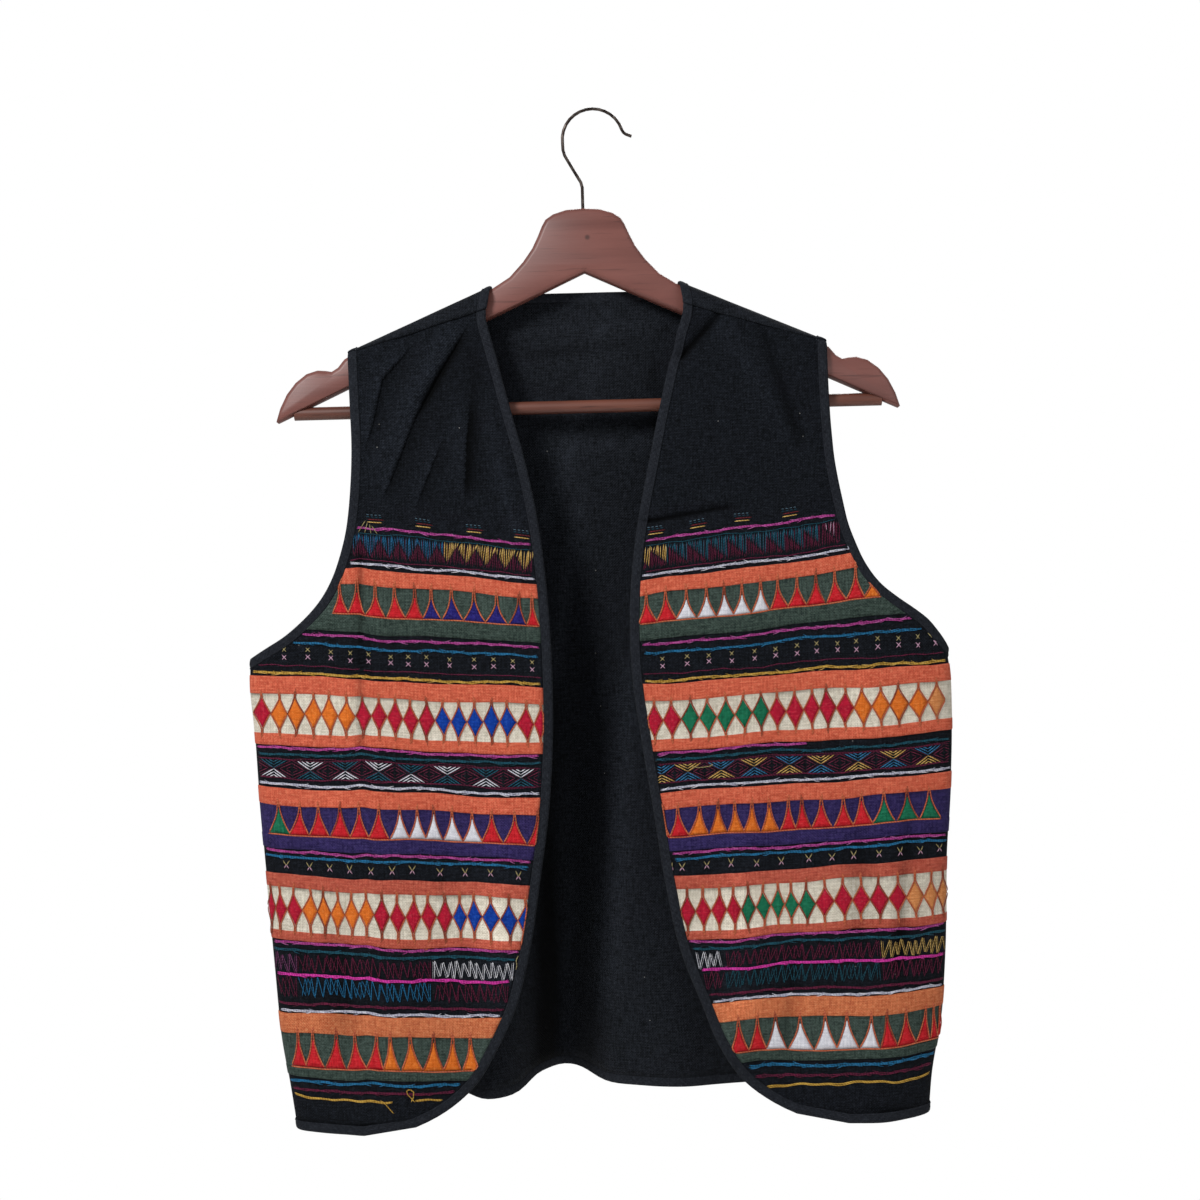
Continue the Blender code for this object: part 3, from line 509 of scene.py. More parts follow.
# The threads of the real cloths lie 0.4 to 0.6 mm apart. They are drawn about twice as coarse, or they
# wouldn't show at this distance. A weave is the thread spacing and how far a thread stands up.
BLACK_WEAVE, BIAS_WEAVE = (0.0010, 0.00034), (0.0009, 0.00025)
BAND_WEAVE, PATCH_WEAVE = (0.0010, 0.0003), (0.0009, 0.0002)
BLACK, REVERSE, BIAS = (
    woven_cotton(finish + "_cotton", *colours.split(), *weave, streak, turn, lint, sheen)
    for finish, colours, weave, streak, turn, lint, sheen in (
        ("black_handwoven", "#171a20 #080a0d #282c33", BLACK_WEAVE, 0.30, 0.0, 34.0, 0.01),
        # The back's cotton: the fronts' black, drawn a little paler all over
        ("black_paler_back", "#1f2228 #0c0e11 #2e3137", BLACK_WEAVE, 0.30, 0.0, 30.0, 0.02),
        ("black_bias", "#26292f #14161b #33363d", BIAS_WEAVE, 0.4, math.pi / 4, 0.0, 0.02),
    )
)
CLOTHS = {
    key: woven_cotton(finish + "_cotton", *colours.split(), *(PATCH_WEAVE if len(key) == 1 else BAND_WEAVE))
    for key, finish, colours in (
        ("orange", "orange_band", "#d26a50 #a8432f #de8c6c"),
        ("salmon", "rust_orange_band", "#bd5e4b #8f3a2e #cc7e66"),
        ("tan", "tan_orange_band", "#cc7850 #a14f31 #da9a6c"),
        ("moss", "dark_green_band", "#44524c #252f2b #5c6b65"),
        ("slate", "grey_green_band", "#3e4c46 #202a26 #5a6861"),
        ("purple", "purple_band", "#352c5c #1d173a #4a4070"),
        ("cream", "cream_band", "#dcd5c6 #aea594 #ece7da"),
        ("R", "red_patch", "#cc2730 #97141c #d84a4c"),
        ("C", "crimson_patch", "#b61c35 #841226 #c64658"),
        ("N", "navy_patch", "#2c2878 #19154a #423d8c"),
        ("B", "cobalt_patch", "#133f9f #0a2872 #3460b8"),
        ("O", "orange_patch", "#dc752c #b55319 #e6964e"),
        ("W", "white_patch", "#dcdce2 #b4b5be #ecedf2"),
        ("G", "green_patch", "#1e7353 #0f4a34 #388c6a"),
        ("P", "faded_orange_patch", "#d18b56 #ab6636 #deaa7a"),
    )
}
YARNS = {
    key: stranded_cotton(finish + "_cotton", *colours.split())
    for key, finish, colours in (
        ("salmon", "salmon_stranded", "#cb6f4c #8c402b"),
        ("rust", "rust_stranded", "#a9563c #6f3021"),
        ("magenta", "magenta_stranded", "#b84a96 #742660"),
        ("pink", "bright_pink_stranded", "#dc40aa #962272"),
        ("plum", "faded_pink_stranded", "#94507f #552a4c"),
        ("blue", "blue_stranded", "#2272a2 #0f4058"),
        ("teal", "teal_stranded", "#1a5262 #0b2c37"),
        ("maroon", "maroon_stranded", "#6a1c3c #360c20"),
        ("yellow", "yellow_stranded", "#c9a24a #8a6722"),
        ("white", "white_stranded", "#c8c8d4 #85869a"),
        ("rose", "pale_pink_stranded", "#cfa9be #9a7089"),
        ("bright", "bright_white_stranded", "#f2f2f6 #b4b5c2"),
        ("gold", "pale_gold_stranded", "#e2c278 #a07c38"),
        ("azure", "light_blue_stranded", "#3f8abb #1a5174"),
        ("petrol", "petrol_stranded", "#24687f #103c4c"),
        ("wine", "wine_stranded", "#86294c #481428"),
        ("mist", "grey_blue_stranded", "#7d9cb0 #46606f"),
        ("orchid", "pale_magenta_stranded", "#cf7ab6 #8d4580"),
        ("straw", "straw_stranded", "#b3a672 #74694a"),
        ("red", "red_stranded", "#84242c #471116"),
        ("black", "black_sewing", "#24262b #0f1013"),
    )
}
KNOT = (STEM[0] + 0.0027, -0.0060, -0.0920)
STAINED_BEECH = stained_wood("hanger_stained_beech", "#7d4b43", "#693b34", "#3a1f1b", 0.50, KNOT)
BAR_WOOD = stained_wood("bar_varnished_ramin", "#764434", "#4f2a21", "#2f1914", 0.45)
STEEL_WIRE = drawn_wire("hook_blackened_wire")


# Pieces

def new_piece(name, points, faces, materials, uv, slot, replaced=(), indices=None, painted_crease_shade=None):
    """A closed mesh from points measured from the stem, on the vest's one body."""
    mesh = bpy.data.meshes.new(name)
    mesh.from_pydata((np.asarray(points) + STEM).tolist(), [], [tuple(face) for face in faces])
    for material in materials:
        mesh.materials.append(material)
    if indices is not None:
        mesh.polygons.foreach_set("material_index", np.asarray(indices, dtype=np.int32))
    corners = np.empty(len(mesh.loops), dtype=np.int32)
    mesh.loops.foreach_get("vertex_index", corners)
    layer = mesh.uv_layers.new(name="cloth")
    layer.data.foreach_set("uv", np.asarray(uv, dtype=np.float32)[corners].ravel())
    # The folds' painted shade and highlight, kept on each point for the cotton's colour
    if painted_crease_shade is not None:
        painted_shade_layer = mesh.attributes.new("painted_crease_shade", "FLOAT", "POINT")
        painted_shade_layer.data.foreach_set("value", np.asarray(painted_crease_shade, np.float32))
    editor = bmesh.new()
    editor.from_mesh(mesh)
    bmesh.ops.recalc_face_normals(editor, faces=editor.faces)
    editor.to_mesh(mesh)
    editor.free()
    mesh.shade_smooth()
    piece = bpy.data.objects.new(name, mesh)
    bpy.context.scene.collection.objects.link(piece)
    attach(piece, "root")
    if replaced:
        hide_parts(*replaced)
    return piece


def grid_faces(rows, columns):
    first = np.arange(rows - 1)[:, None] * columns + np.arange(columns - 1)
    return np.stack([first, first + columns, first + columns + 1, first + 1], axis=-1).reshape(-1, 4)


def slab_faces(rows, columns):
    """The faces of a thin closed slab: a grid, the grid behind it, and the rim between them. The faces
    of the first grid come first, row by row."""
    count = rows * columns
    top = grid_faces(rows, columns)
    ring = [*range(columns)]
    ring += [i * columns + columns - 1 for i in range(1, rows)]
    ring += [(rows - 1) * columns + j for j in range(columns - 2, -1, -1)]
    ring += [i * columns for i in range(rows - 2, 0, -1)]
    ring = np.array(ring)
    after = np.roll(ring, -1)
    rim = np.stack([ring, after, after + count, ring + count], axis=1)
    return np.concatenate([top, top[:, ::-1] + count, rim])


def cloth_uv(grid, x_start, heights):
    """A cloth grid's own coordinates in metres: along each row, and up."""
    steps = np.linalg.norm(np.diff(grid, axis=1), axis=2)
    along = np.concatenate([np.zeros((len(grid), 1)), np.cumsum(steps, axis=1)], axis=1)
    return np.stack([along + np.reshape(x_start, (-1, 1)), heights], axis=-1)


def panel(name, grid, normals, uv, painted_crease_shade, cotton, kept=None):
    """A cut piece of the cotton, as a thin closed shell."""
    rows, columns = grid.shape[:2]
    count = rows * columns
    points = np.concatenate([(grid + way * normals * WALL / 2).reshape(-1, 3) for way in (1, -1)])
    uv, painted_crease_shade = np.tile(uv.reshape(-1, 2), (2, 1)), np.tile(painted_crease_shade.ravel(), 2)
    faces = slab_faces(rows, columns)
    if kept:
        quads = [face for face in grid_faces(rows, columns) if kept(*divmod(int(face[0]), columns))]
        edges = {}
        for face in quads:
            edges.update(dict.fromkeys(zip(face.tolist(), np.roll(face, -1).tolist(), strict=True)))
        rim = [(a, b, b + count, a + count) for a, b in edges if (b, a) not in edges]
        faces = [*quads, *[face[::-1] + count for face in quads], *rim]
        used = np.unique(np.concatenate([np.ravel(face) for face in faces]))
        renamed = np.full(len(points), -1)
        renamed[used] = np.arange(len(used))
        faces = [renamed[np.asarray(face)] for face in faces]
        points, uv, painted_crease_shade = points[used], uv[used], painted_crease_shade[used]
    return new_piece(name + "_cloth", points, faces, [cotton], uv, "black_cotton", (name,), painted_crease_shade=painted_crease_shade)


# The binding's section: across from the panel's edge, and out from the cloth's middle, in metres. The
# dip near the inner fold is where the stitching pulls it down.
BINDING_SECTION = (
    (-0.0008, 0.00060), (-0.0006, 0.00120), (-0.0001, 0.00150), (0.0007, 0.00112), (0.0014, 0.00138),
    (0.0030, 0.00150), (0.0046, 0.00138), (0.0055, 0.00100), (0.0061, 0.00030), (0.0057, -0.00042),
    (0.0046, -0.00074), (0.0012, -0.00076), (-0.0003, -0.00074), (-0.0008, -0.00040),
)


def softened(vectors, closed, times):
    for _ in range(times):
        before, after = np.roll(vectors, 1, axis=0), np.roll(vectors, -1, axis=0)
        if not closed:
            before[0], after[-1] = vectors[0], vectors[-1]
        vectors = unit(before + 2 * vectors + after)
    return vectors


def binding(name, edge, normals, beside, closed=False, ends=(None, None), soften=2):
    """Folded bias binding round a panel's edge, with its running line of stitches."""
    before, after = np.roll(edge, 1, axis=0), np.roll(edge, -1, axis=0)
    if not closed:
        before[0], after[-1] = edge[0], edge[-1]
    run = unit(after - before)
    out = unit(np.cross(run, normals))
    out = np.where((np.einsum("ij,ij->i", beside - edge, out) > 0)[:, None], -out, out)
    out = softened(out, closed, soften)
    if ends[0] is not None:
        out[0] = unit(ends[0])
    if ends[1] is not None:
        out[-1] = unit(ends[1])
    up = unit(normals - np.einsum("ij,ij->i", normals, out)[:, None] * out)
    section = np.array(BINDING_SECTION)
    count, around = len(edge), len(section)
    along = np.concatenate([[0], np.cumsum(np.linalg.norm(np.diff(edge, axis=0), axis=1))])
    uneven = 1 + 0.05 * np.sin(along * 210) + 0.04 * np.sin(along * 470 + 1.0)
    points = (
        edge[:, None]
        + out[:, None] * section[:, 0][None, :, None]
        + up[:, None] * (section[:, 1][None, :] * uneven[:, None])[..., None]
    )
    faces = []
    for i in range(count if closed else count - 1):
        a, b = i * around, (i + 1) % count * around
        faces += [(a + j, b + j, b + (j + 1) % around, a + (j + 1) % around) for j in range(around)]
    if not closed:
        faces += [tuple(range(around)), tuple((count - 1) * around + j for j in range(around))]
    width = np.concatenate([[0], np.cumsum(np.hypot(*np.diff(section, axis=0).T))])
    uv = np.stack(np.broadcast_arrays(along[:, None], width[None, :]), axis=-1).reshape(-1, 2)
    piece = new_piece(name + "_tape", points.reshape(-1, 3), faces, [BIAS], uv, "binding_cotton", (name,))
    stitches = edge + out * 0.0007 + up * 0.00112, up, along
    return piece, stitches


# The cut and sewn cloth

def front_grid(side, rulers, columns, inset=0.0):
    """Places (x, z) over a front, row by row, each from its front edge outwards."""
    shares = np.linspace(0, 1, columns)
    rows = []
    for ruler in rulers:
        x, z = across(side, row_start(side, ruler), row_end(side, ruler), shares)
        if inset:
            x = np.clip(x, x[0] + inset, x[-1] - inset)
        rows.append((x, z))
    return np.array(rows).transpose(1, 0, 2)


def shoulder_arc(x, z):
    """How far the cloth runs from the ridge down to height z."""
    drop = ridge_z(x) - z
    if drop >= RIDGE_ROUND:
        return RIDGE_ROUND * math.pi / 2 + drop - RIDGE_ROUND
    return RIDGE_ROUND * math.acos(1 - max(drop, 0.0) / RIDGE_ROUND)


def shoulder_height(x, arc):
    """The height of the cloth over the hanger at a length of cloth from the ridge."""
    turn = np.minimum(np.abs(arc) / RIDGE_ROUND, math.pi / 2)
    straight = np.maximum(0.0, np.abs(arc) - RIDGE_ROUND * math.pi / 2)
    return ridge_z(x) - RIDGE_ROUND * (1 - np.cos(turn)) - straight


FINER = 4  # the shells have this many columns for each of the back's own
FINE_HALF = HALF_COLUMNS * FINER
FINE_NECK = NECK_COLUMN * FINER
FRONT_COLUMNS = 104
BAND_COLUMNS = 100


def shoulder_half(side, step, neck_x):
    """Half a row of the back over the shoulder, as face, x and z."""
    x_tip = row_end(side, SEAM_RULER + BENT_SEAM_GAP / 2)[0]
    inner = np.linspace(0, neck_x, FINE_NECK + 1)
    x = np.concatenate([inner, np.linspace(neck_x, x_tip, FINE_HALF - FINE_NECK + 1)[1:]])
    arc = np.full(x.shape, step)
    if step < 0:
        seam_x = np.maximum(x, RIDGE_X)
        down = [shoulder_arc(one, float(row_z(side, SEAM_RULER, one)) - 0.0002) for one in seam_x]
        arc = step * np.array(down)
    return "front" if step < 0 else "back", x, shoulder_height(x, arc)


def neck_half(side):
    """Half of the back's row along the neck."""
    x_tip = row_end(side, SEAM_RULER + BENT_SEAM_GAP / 2)[0]
    share = np.arange(FINE_HALF + 1) / FINER
    inner = NECK_CORNER_X * share / NECK_COLUMN
    outer = NECK_CORNER_X + (x_tip - NECK_CORNER_X) * (share - NECK_COLUMN) / (HALF_COLUMNS - NECK_COLUMN)
    x = np.where(share < NECK_COLUMN, inner, outer)
    arc = np.minimum(NECK_ROW_ARC, NECK_CORNER_ARC + 0.0020 * np.maximum(0.0, share - NECK_COLUMN))
    low = NECK_Z - BINDING_WIDTH - SEAM_GAP
    corner_z = float(shoulder_height(NECK_CORNER_X, NECK_CORNER_ARC))
    knots = NECK_COLUMN - 2, NECK_COLUMN - 1, NECK_COLUMN
    level = np.interp(share, knots, (low, low + 0.0008, corner_z))
    return "back", x, np.where(share < NECK_COLUMN, level, shoulder_height(x, arc))


HEM_WAVES = (  # how far the back's hem is drawn up, where, half width: over its deep fold and beside it
    (0.0055, -0.0330, 0.0260),
    (-0.0050, -0.0760, 0.0200),
)


def back_half(side, ruler):
    """Half of a row of the back, level at the middle, meeting the front's row at the side seam."""
    top_z = NECK_Z - BINDING_WIDTH - SEAM_GAP - 0.012
    foot_z = BACK_HEM_Z + BINDING_WIDTH + SEAM_GAP
    middle_z = float(np.interp(ruler, (BACK_TOP_RULER, FOOT_RULER), (top_z, foot_z)))
    end = row_end(side, ruler)
    shares = np.linspace(0, 1, FINE_HALF + 1)
    x, _ = across(side, (0.0, middle_z), end, shares)
    low = np.clip((ruler - 0.60) / (FOOT_RULER - 0.60), 0, 1) ** 2
    drawn = sum(up * np.exp(-(((side * x - at) / half) ** 4)) for up, at, half in HEM_WAVES)
    return "back", x, middle_z + (end[1] - middle_z) * shares**2.2 + low * drawn


def between(one, other, share):
    return one[0], one[1] + (other[1] - one[1]) * share, one[2] + (other[2] - one[2]) * share


FINE_RULERS = np.unique([*np.arange(0.1400, 0.7185, 0.0030), TOP_RULER, ARMPIT_RULER, FOOT_RULER])
FRONT_RULERS = np.unique([*FINE_RULERS, *np.arange(0.1415, 0.3120, 0.0030)])  # closer on the yoke


def back_rows():
    """The back's rows, from the seams on the front over the shoulders and down to the hem, as the pair
    of halves for each, and how many of them come before the neck's row."""
    rows = []
    coarse = np.arange(len(SHOULDER_ROWS))
    for at in np.linspace(0, coarse[-1], 3 * coarse[-1] + 1):
        halves = {}
        for side in (-1, 1):
            necks = [row_start(side, SEAM_RULER)[0], *column(SHOULDER_ROWS, 1)[1:]]
            step = float(np.interp(at, coarse, column(SHOULDER_ROWS, 0)))
            halves[side] = shoulder_half(side, step, float(np.interp(at, coarse, necks)))
        rows.append(halves)
    neck_row = len(rows)
    neck = {side: neck_half(side) for side in (-1, 1)}
    first = {side: back_half(side, BACK_TOP_RULER) for side in (-1, 1)}
    rows += [{side: between(neck[side], first[side], k / 5) for side in (-1, 1)} for k in range(5)]
    rulers = [BACK_TOP_RULER, *FINE_RULERS[FINE_RULERS > BACK_TOP_RULER + 0.0015]]
    rows += [{side: back_half(side, ruler) for side in (-1, 1)} for ruler in rulers]
    return rows, neck_row


def whole_row(halves):
    """A row's points from the wearer's right to the left, with its heights."""
    sides = {side: place(face, side, x, z) for side, (face, x, z) in halves.items()}
    return np.concatenate([sides[-1][:0:-1], sides[1]]), np.concatenate([halves[-1][2][:0:-1], halves[1][2]])


def normals_of(grid):
    return unit(np.cross(np.gradient(grid, axis=1), np.gradient(grid, axis=0)))


back_halves, neck_row = back_rows()
back, back_heights = (np.array(values) for values in zip(*map(whole_row, back_halves), strict=True))
back_normals = normals_of(back)
# Painted shade and highlight of the back's folds, only where it hangs behind the hanger's plane
back_painted_shade = rubbed("back", back[..., 0], back[..., 2]) * (back[..., 1] > 0)
# The shoulder seam's allowance lies under the back's edge and lifts it
back[:4] += back_normals[:4] * np.array((0.0010, 0.0009, 0.0005, 0.0))[:, None, None]
neck_columns = range(FINE_HALF - FINE_NECK, FINE_HALF + FINE_NECK)
back_start = -np.linalg.norm(np.diff(back[:, : FINE_HALF + 1], axis=1), axis=2).sum(axis=1)
back_uv = cloth_uv(back, back_start, back_heights)


def kept_back(i, j):
    """Whether the back has the cell at row i and column j, which the neck's opening takes out."""
    return i >= neck_row or j not in neck_columns


back_piece = panel("back", back, back_normals, back_uv, back_painted_shade, REVERSE, kept_back)
hem_piece, line = binding("binding_hem", back[-1], back_normals[-1], back[-2])
stitched = [("back", line)]  # the bindings' lines of stitches, each with its row's name
first, last = neck_columns[0], neck_columns[-1] + 1


def round_neck(grid, aside, below):
    """The points round the back neck, or those beside them, from the right seam to the left one."""
    sides = grid[:neck_row, first - aside], grid[neck_row - 1 :: -1, last + aside]
    return np.concatenate([sides[0], grid[neck_row + below, first : last + 1], sides[1]])


neck_beside = round_neck(back, 1, 1)
neck_beside[neck_row] = back[neck_row, first - 1]
neck_beside[-neck_row - 1] = back[neck_row, last + 1]
neck_ends = back[0, first] - back[0, first - 1], back[0, last] - back[0, last + 1]
neck_edge, neck_facing = round_neck(back, 0, 0), round_neck(back_normals, 0, 0)
neck_piece, line = binding("binding_neck", neck_edge, neck_facing, neck_beside, ends=neck_ends, soften=3)
stitched.append(("back", line))

fronts, front_pieces, sewn_on = {}, {}, {-1: [], 1: []}
for side, name in ((-1, "right"), (1, "left")):
    x, z = front_grid(side, FRONT_RULERS, FRONT_COLUMNS)
    grid = place("front", side, x, z)
    normals = outward("front", side, x, z)
    fronts[side] = grid
    # Painted shade and highlight of the front's folds
    creases = rubbed("front", side * x, z)
    front_pieces[side] = panel("front_" + name, grid, normals, cloth_uv(grid, x[:, 0], z), creases, BLACK)
    edge = np.concatenate([grid[:, 0], grid[-1, 1:]])
    facing = np.concatenate([normals[:, 0], normals[-1, 1:]])
    beside = np.concatenate([grid[:, 1], grid[-2, 1:]])
    ends = grid[0, 0] - grid[0, 1], None
    piece, line = binding("binding_front_" + name, edge, facing, beside, ends=ends, soften=8)
    sewn_on[side].append(piece)
    stitched.append((name, line))

    armpit = int(np.argmin(np.abs(FRONT_RULERS - ARMPIT_RULER)))
    back_armpit = len(back) - int(np.sum(FINE_RULERS > ARMPIT_RULER - 1e-6))
    end, inside = (0, 1) if side < 0 else (-1, -2)
    edge = np.concatenate([grid[armpit::-1, -1], back[: back_armpit + 1, end]])
    facing = np.concatenate([normals[armpit::-1, -1], back_normals[: back_armpit + 1, end]])
    beside = np.concatenate([grid[armpit::-1, -2], back[: back_armpit + 1, inside]])
    beside[0] = grid[armpit + 1, -1]
    beside[-1] = back[back_armpit + 1, end]
    low = edge[:, 2] < ARMHOLE_BOW_Z
    for face, chosen in (("front", low & (edge[:, 1] < 0)), ("back", low & (edge[:, 1] >= 0))):
        facing[chosen] = outward(face, side, np.abs(edge[chosen, 0]), edge[chosen, 2])
    ends = np.array(((0.0, 0.0, 1.0), (0.0, 0.0, 1.0)))
    piece, line = binding("binding_armhole_" + name, edge, facing, beside, closed=True, ends=ends, soften=3)
    sewn_on[side].append(piece)
    stitched.append((name, line))


# How far the strips and the ground stand above the cotton, and the patches above the ground
STRIP, GROUND, PATCH = 0.00125, 0.00060, 0.00055
BANDS = {  # rulers: upper edge, foot of the upper strip, head of the lower strip, lower edge; their cloths
    "a": (0.3375, 0.3481, 0.3689, 0.3805, "orange", "moss", "slate"),
    "b": (0.4120, 0.4242, 0.4515, 0.4598, "orange", "cream", "orange"),
    "c": (0.4900, 0.5021, 0.5233, 0.5334, "orange", "purple", "purple"),
    "d": (0.5517, 0.5612, 0.5915, 0.5980, "salmon", "cream", "salmon"),
    "e": (0.6459, 0.6598, 0.6837, 0.6907, "tan", "moss", "slate"),
}


def band_profile(band):
    """A band's rulers with its height above the cotton and its cloth's place in the list of three. A
    turned edge rises over its first half millimetre."""
    top, head, foot, end = BANDS[band][:4]
    rows = [(top, 0.0, 0), (top + 0.00015, 0.0007, 0), (top + 0.0006, STRIP, 0)]
    rows += [(ruler, STRIP, 0) for ruler in np.linspace(top, head, 5)[1:-1]]
    rows += [(head - 0.0006, STRIP, 0), (head - 0.00012, 0.00105, 0), (head, GROUND, 1)]
    rows += [(ruler, GROUND, 1) for ruler in np.linspace(head, foot, 9)[1:-1]]
    rows += [(foot, GROUND, 2), (foot + 0.00012, 0.00105, 2), (foot + 0.0006, STRIP, 2)]
    rows += [(ruler, STRIP, 2) for ruler in np.linspace(foot, end, 4)[1:-1]]
    rows += [(end - 0.0006, STRIP, 2), (end - 0.00015, 0.0007, 2), (end, 0.0, 2)]
    return rows


def sewn_band(side, name, band):
    """A band: its ground and the two turned strips over the ground's edges, as one closed slab."""
    rows = band_profile(band)
    rulers = np.array(column(rows, 0))
    x, z = front_grid(side, rulers, BAND_COLUMNS, BAND_END)
    heights = np.array(column(rows, 1))[:, None] * np.ones(BAND_COLUMNS)
    heights[:, [0, -1]] = 0.0
    seeds = [3 + ord(band) * side + (2 if row[2] else 0) for row in rows]
    bend = np.array([wander(one, seed, 0.00030) for one, seed in zip(x, seeds, strict=True)])
    z = z + bend + sway(side, rulers[:, None], x)
    width = half_width(side, z)
    heights *= 0.35 + 0.65 * np.clip((width - x) / 0.006, 0, 1)
    normal = outward("front", side, x, z)
    middle = place("front", side, x, z)
    top = middle + normal * (WALL / 2 + heights)[..., None]
    under = middle + normal * (WALL / 2 - 0.0004)
    points = np.concatenate([top.reshape(-1, 3), under.reshape(-1, 3)])
    along = cloth_uv(middle, x[:, 0], z)[..., 0]
    uv = np.stack([along, -np.repeat(rulers[:, None], BAND_COLUMNS, axis=1)], axis=-1)
    faces = slab_faces(len(rows), BAND_COLUMNS)
    cloths = np.array([row[2] for row in rows])
    quads = np.repeat(cloths[:-1], BAND_COLUMNS - 1)
    indices = np.concatenate([quads, quads, np.full(len(faces) - 2 * len(quads), 1)])
    kinds = [CLOTHS[kind] for kind in BANDS[band][4:]]
    label = f"band_{band}_{name}"
    uv = np.tile(uv.reshape(-1, 2), (2, 1))
    # The bands carry the front's painted shade and highlight, at six tenths of its strength
    painted_crease_shade = np.tile(rubbed("front", side * x, z).ravel(), 2) * 0.6
    shell = label + "_strips", points, faces, kinds, uv
    return new_piece(*shell, "applique_cotton", (label,), indices, painted_crease_shade)


# What is pieced on each band's ground, charted from the photograph: a letter for each patch's cloth and
# the place of its point, in millimetres from the stem, from the side seam to the front edge on the right
# and the other way on the left
TRIANGLES = {
    ("a", -1): "RRRRRNNNNNR 179.6 168.0 154.3 140.6 126.2 114.6 100.2 84.3 68.1 52.5 43.2",
    ("a", 1): "RRWWWWWRRRRRO 37.7 51.5 66.2 80.4 93.0 105.6 118.9 131.1 145.2 158.7 172.0 187.1 199.0",
    ("c", -1): """GRRRRRWWWWWRRR
        227.3 211.8 198.4 182.6 168.8 155.1 140.3 128.1 116.5 103.5 89.1 75.4 59.2 42.9""",
    ("c", 1): """RROOOOORRRRRGGG
        43.6 55.8 71.3 84.2 96.1 108.3 120.5 134.3 144.0 157.8 173.2 186.2 202.2 218.7 235.0""",
    ("e", -1): "RRRRROOOOO 217.3 206.4 189.3 175.6 160.0 150.6 136.9 120.7 107.3 94.6",
    ("e", 1): "RRWWWWWRRRRR 94.3 107.8 121.1 139.0 156.4 171.5 188.5 199.1 212.9 227.8 234.0 238.9",
}
DIAMONDS = {
    ("b", -1): """COOOOOCCCCCBBBBBCC 237.9 224.9 213.3 200.3 188.5 176.5 164.3 153.4 141.9
        131.1 119.9 108.0 97.1 85.6 73.7 62.8 48.8 39.1""",
    ("b", 1): """CCGGGGGCCCCCOOOOP 41.2 53.4 66.7 79.0 91.6 104.5 116.7 128.1 141.1 153.3
        163.8 176.8 189.0 202.0 214.7 229.6 242.6""",
    ("d", -1): """CCCOOOOOCCCCCBBBBB 234.5 228.0 217.6 205.6 195.9 186.1 175.7 165.2 154.4
        143.5 132.3 121.9 110.3 99.5 89.4 77.6 64.6 53.3""",
    ("d", 1): """CCCCGGGGGCCCCCPPP 60.8 72.0 83.4 93.6 103.3 114.7 125.3 134.7 145.6 158.2
        171.5 184.0 196.7 209.7 222.7 234.9 243.5""",
}
# Where a row of diamonds has its middle on the ground and how far each reaches up and down, as shares
# of the ground's height
DIAMOND_FORM = {
    ("b", -1): (0.50, 0.37), ("b", 1): (0.50, 0.38), ("d", -1): (0.50, 0.33), ("d", 1): (0.53, 0.33)
}
REACH = {
    side: np.array([(ruler, row_start(side, ruler)[0], row_end(side, ruler)[0]) for ruler in FINE_RULERS])
    for side in (-1, 1)
}


def ends_of(side, ruler):
    """Where a front's cloth begins and ends at a ruler."""
    table = REACH[side]
    return [np.interp(ruler, table[:, 0], table[:, k]) for k in (1, 2)]


def kept_on(side, x, ruler, margin=0.0012):
    """x held inside a front's edges at that ruler."""
    start, end = ends_of(side, ruler)
    return np.clip(x, start + margin, end - margin)


def from_stem(text):
    """Distances from the stem, which are given in millimetres, in metres."""
    return np.array(text.split(), float) / 1000


def charted(text):
    """A chart's letters, and the places of their points."""
    letters, places = text.split(maxsplit=1)
    return letters, from_stem(places)


def spaces(places):
    """The lines between neighbouring places, with one beyond each end."""
    middle = (places[1:] + places[:-1]) / 2
    return np.array([1.5 * places[0] - 0.5 * places[1], *middle, 1.5 * places[-1] - 0.5 * places[-2]])


TUCKED = 0.97  # how much of its place a patch fills, beside the cord


def patch(side, rulers, lefts, rights):
    """A small patch on a band's ground: points row by row, raised, with its edge turned under."""
    columns = 5
    shares = np.linspace(0, 1, columns)
    grid_r = np.repeat(rulers[:, None], columns, axis=1)
    grid_x = kept_on(side, lefts[:, None] + (rights - lefts)[:, None] * shares, grid_r)
    lift = np.full(grid_x.shape, GROUND + PATCH)
    rim = np.zeros(lift.shape, bool)
    rim[[0, -1]] = True
    rim[:, [0, -1]] = True
    lift[rim] = GROUND + 0.0002
    top, _ = on_front(side, grid_x, grid_r, lift)
    under, _ = on_front(side, grid_x, grid_r, GROUND - 0.0003)
    uv = np.stack([grid_x * side, -grid_r], axis=-1).reshape(-1, 2)
    points = np.concatenate([top.reshape(-1, 3), under.reshape(-1, 3)])
    return points, slab_faces(len(rulers), columns), np.tile(uv, (2, 1))


TRIANGLE_TIPS = {"a": 0.32, "c": 0.19, "e": 0.18}  # how far down the ground the triangles' points are
STRAY_PIECE = "a", 1, 12  # a low scrap of orange between the last triangle and the armhole


def narrowing(t):
    """How wide a triangle is at a share of its height from its point."""
    return 0.05 + 0.95 * t**1.5


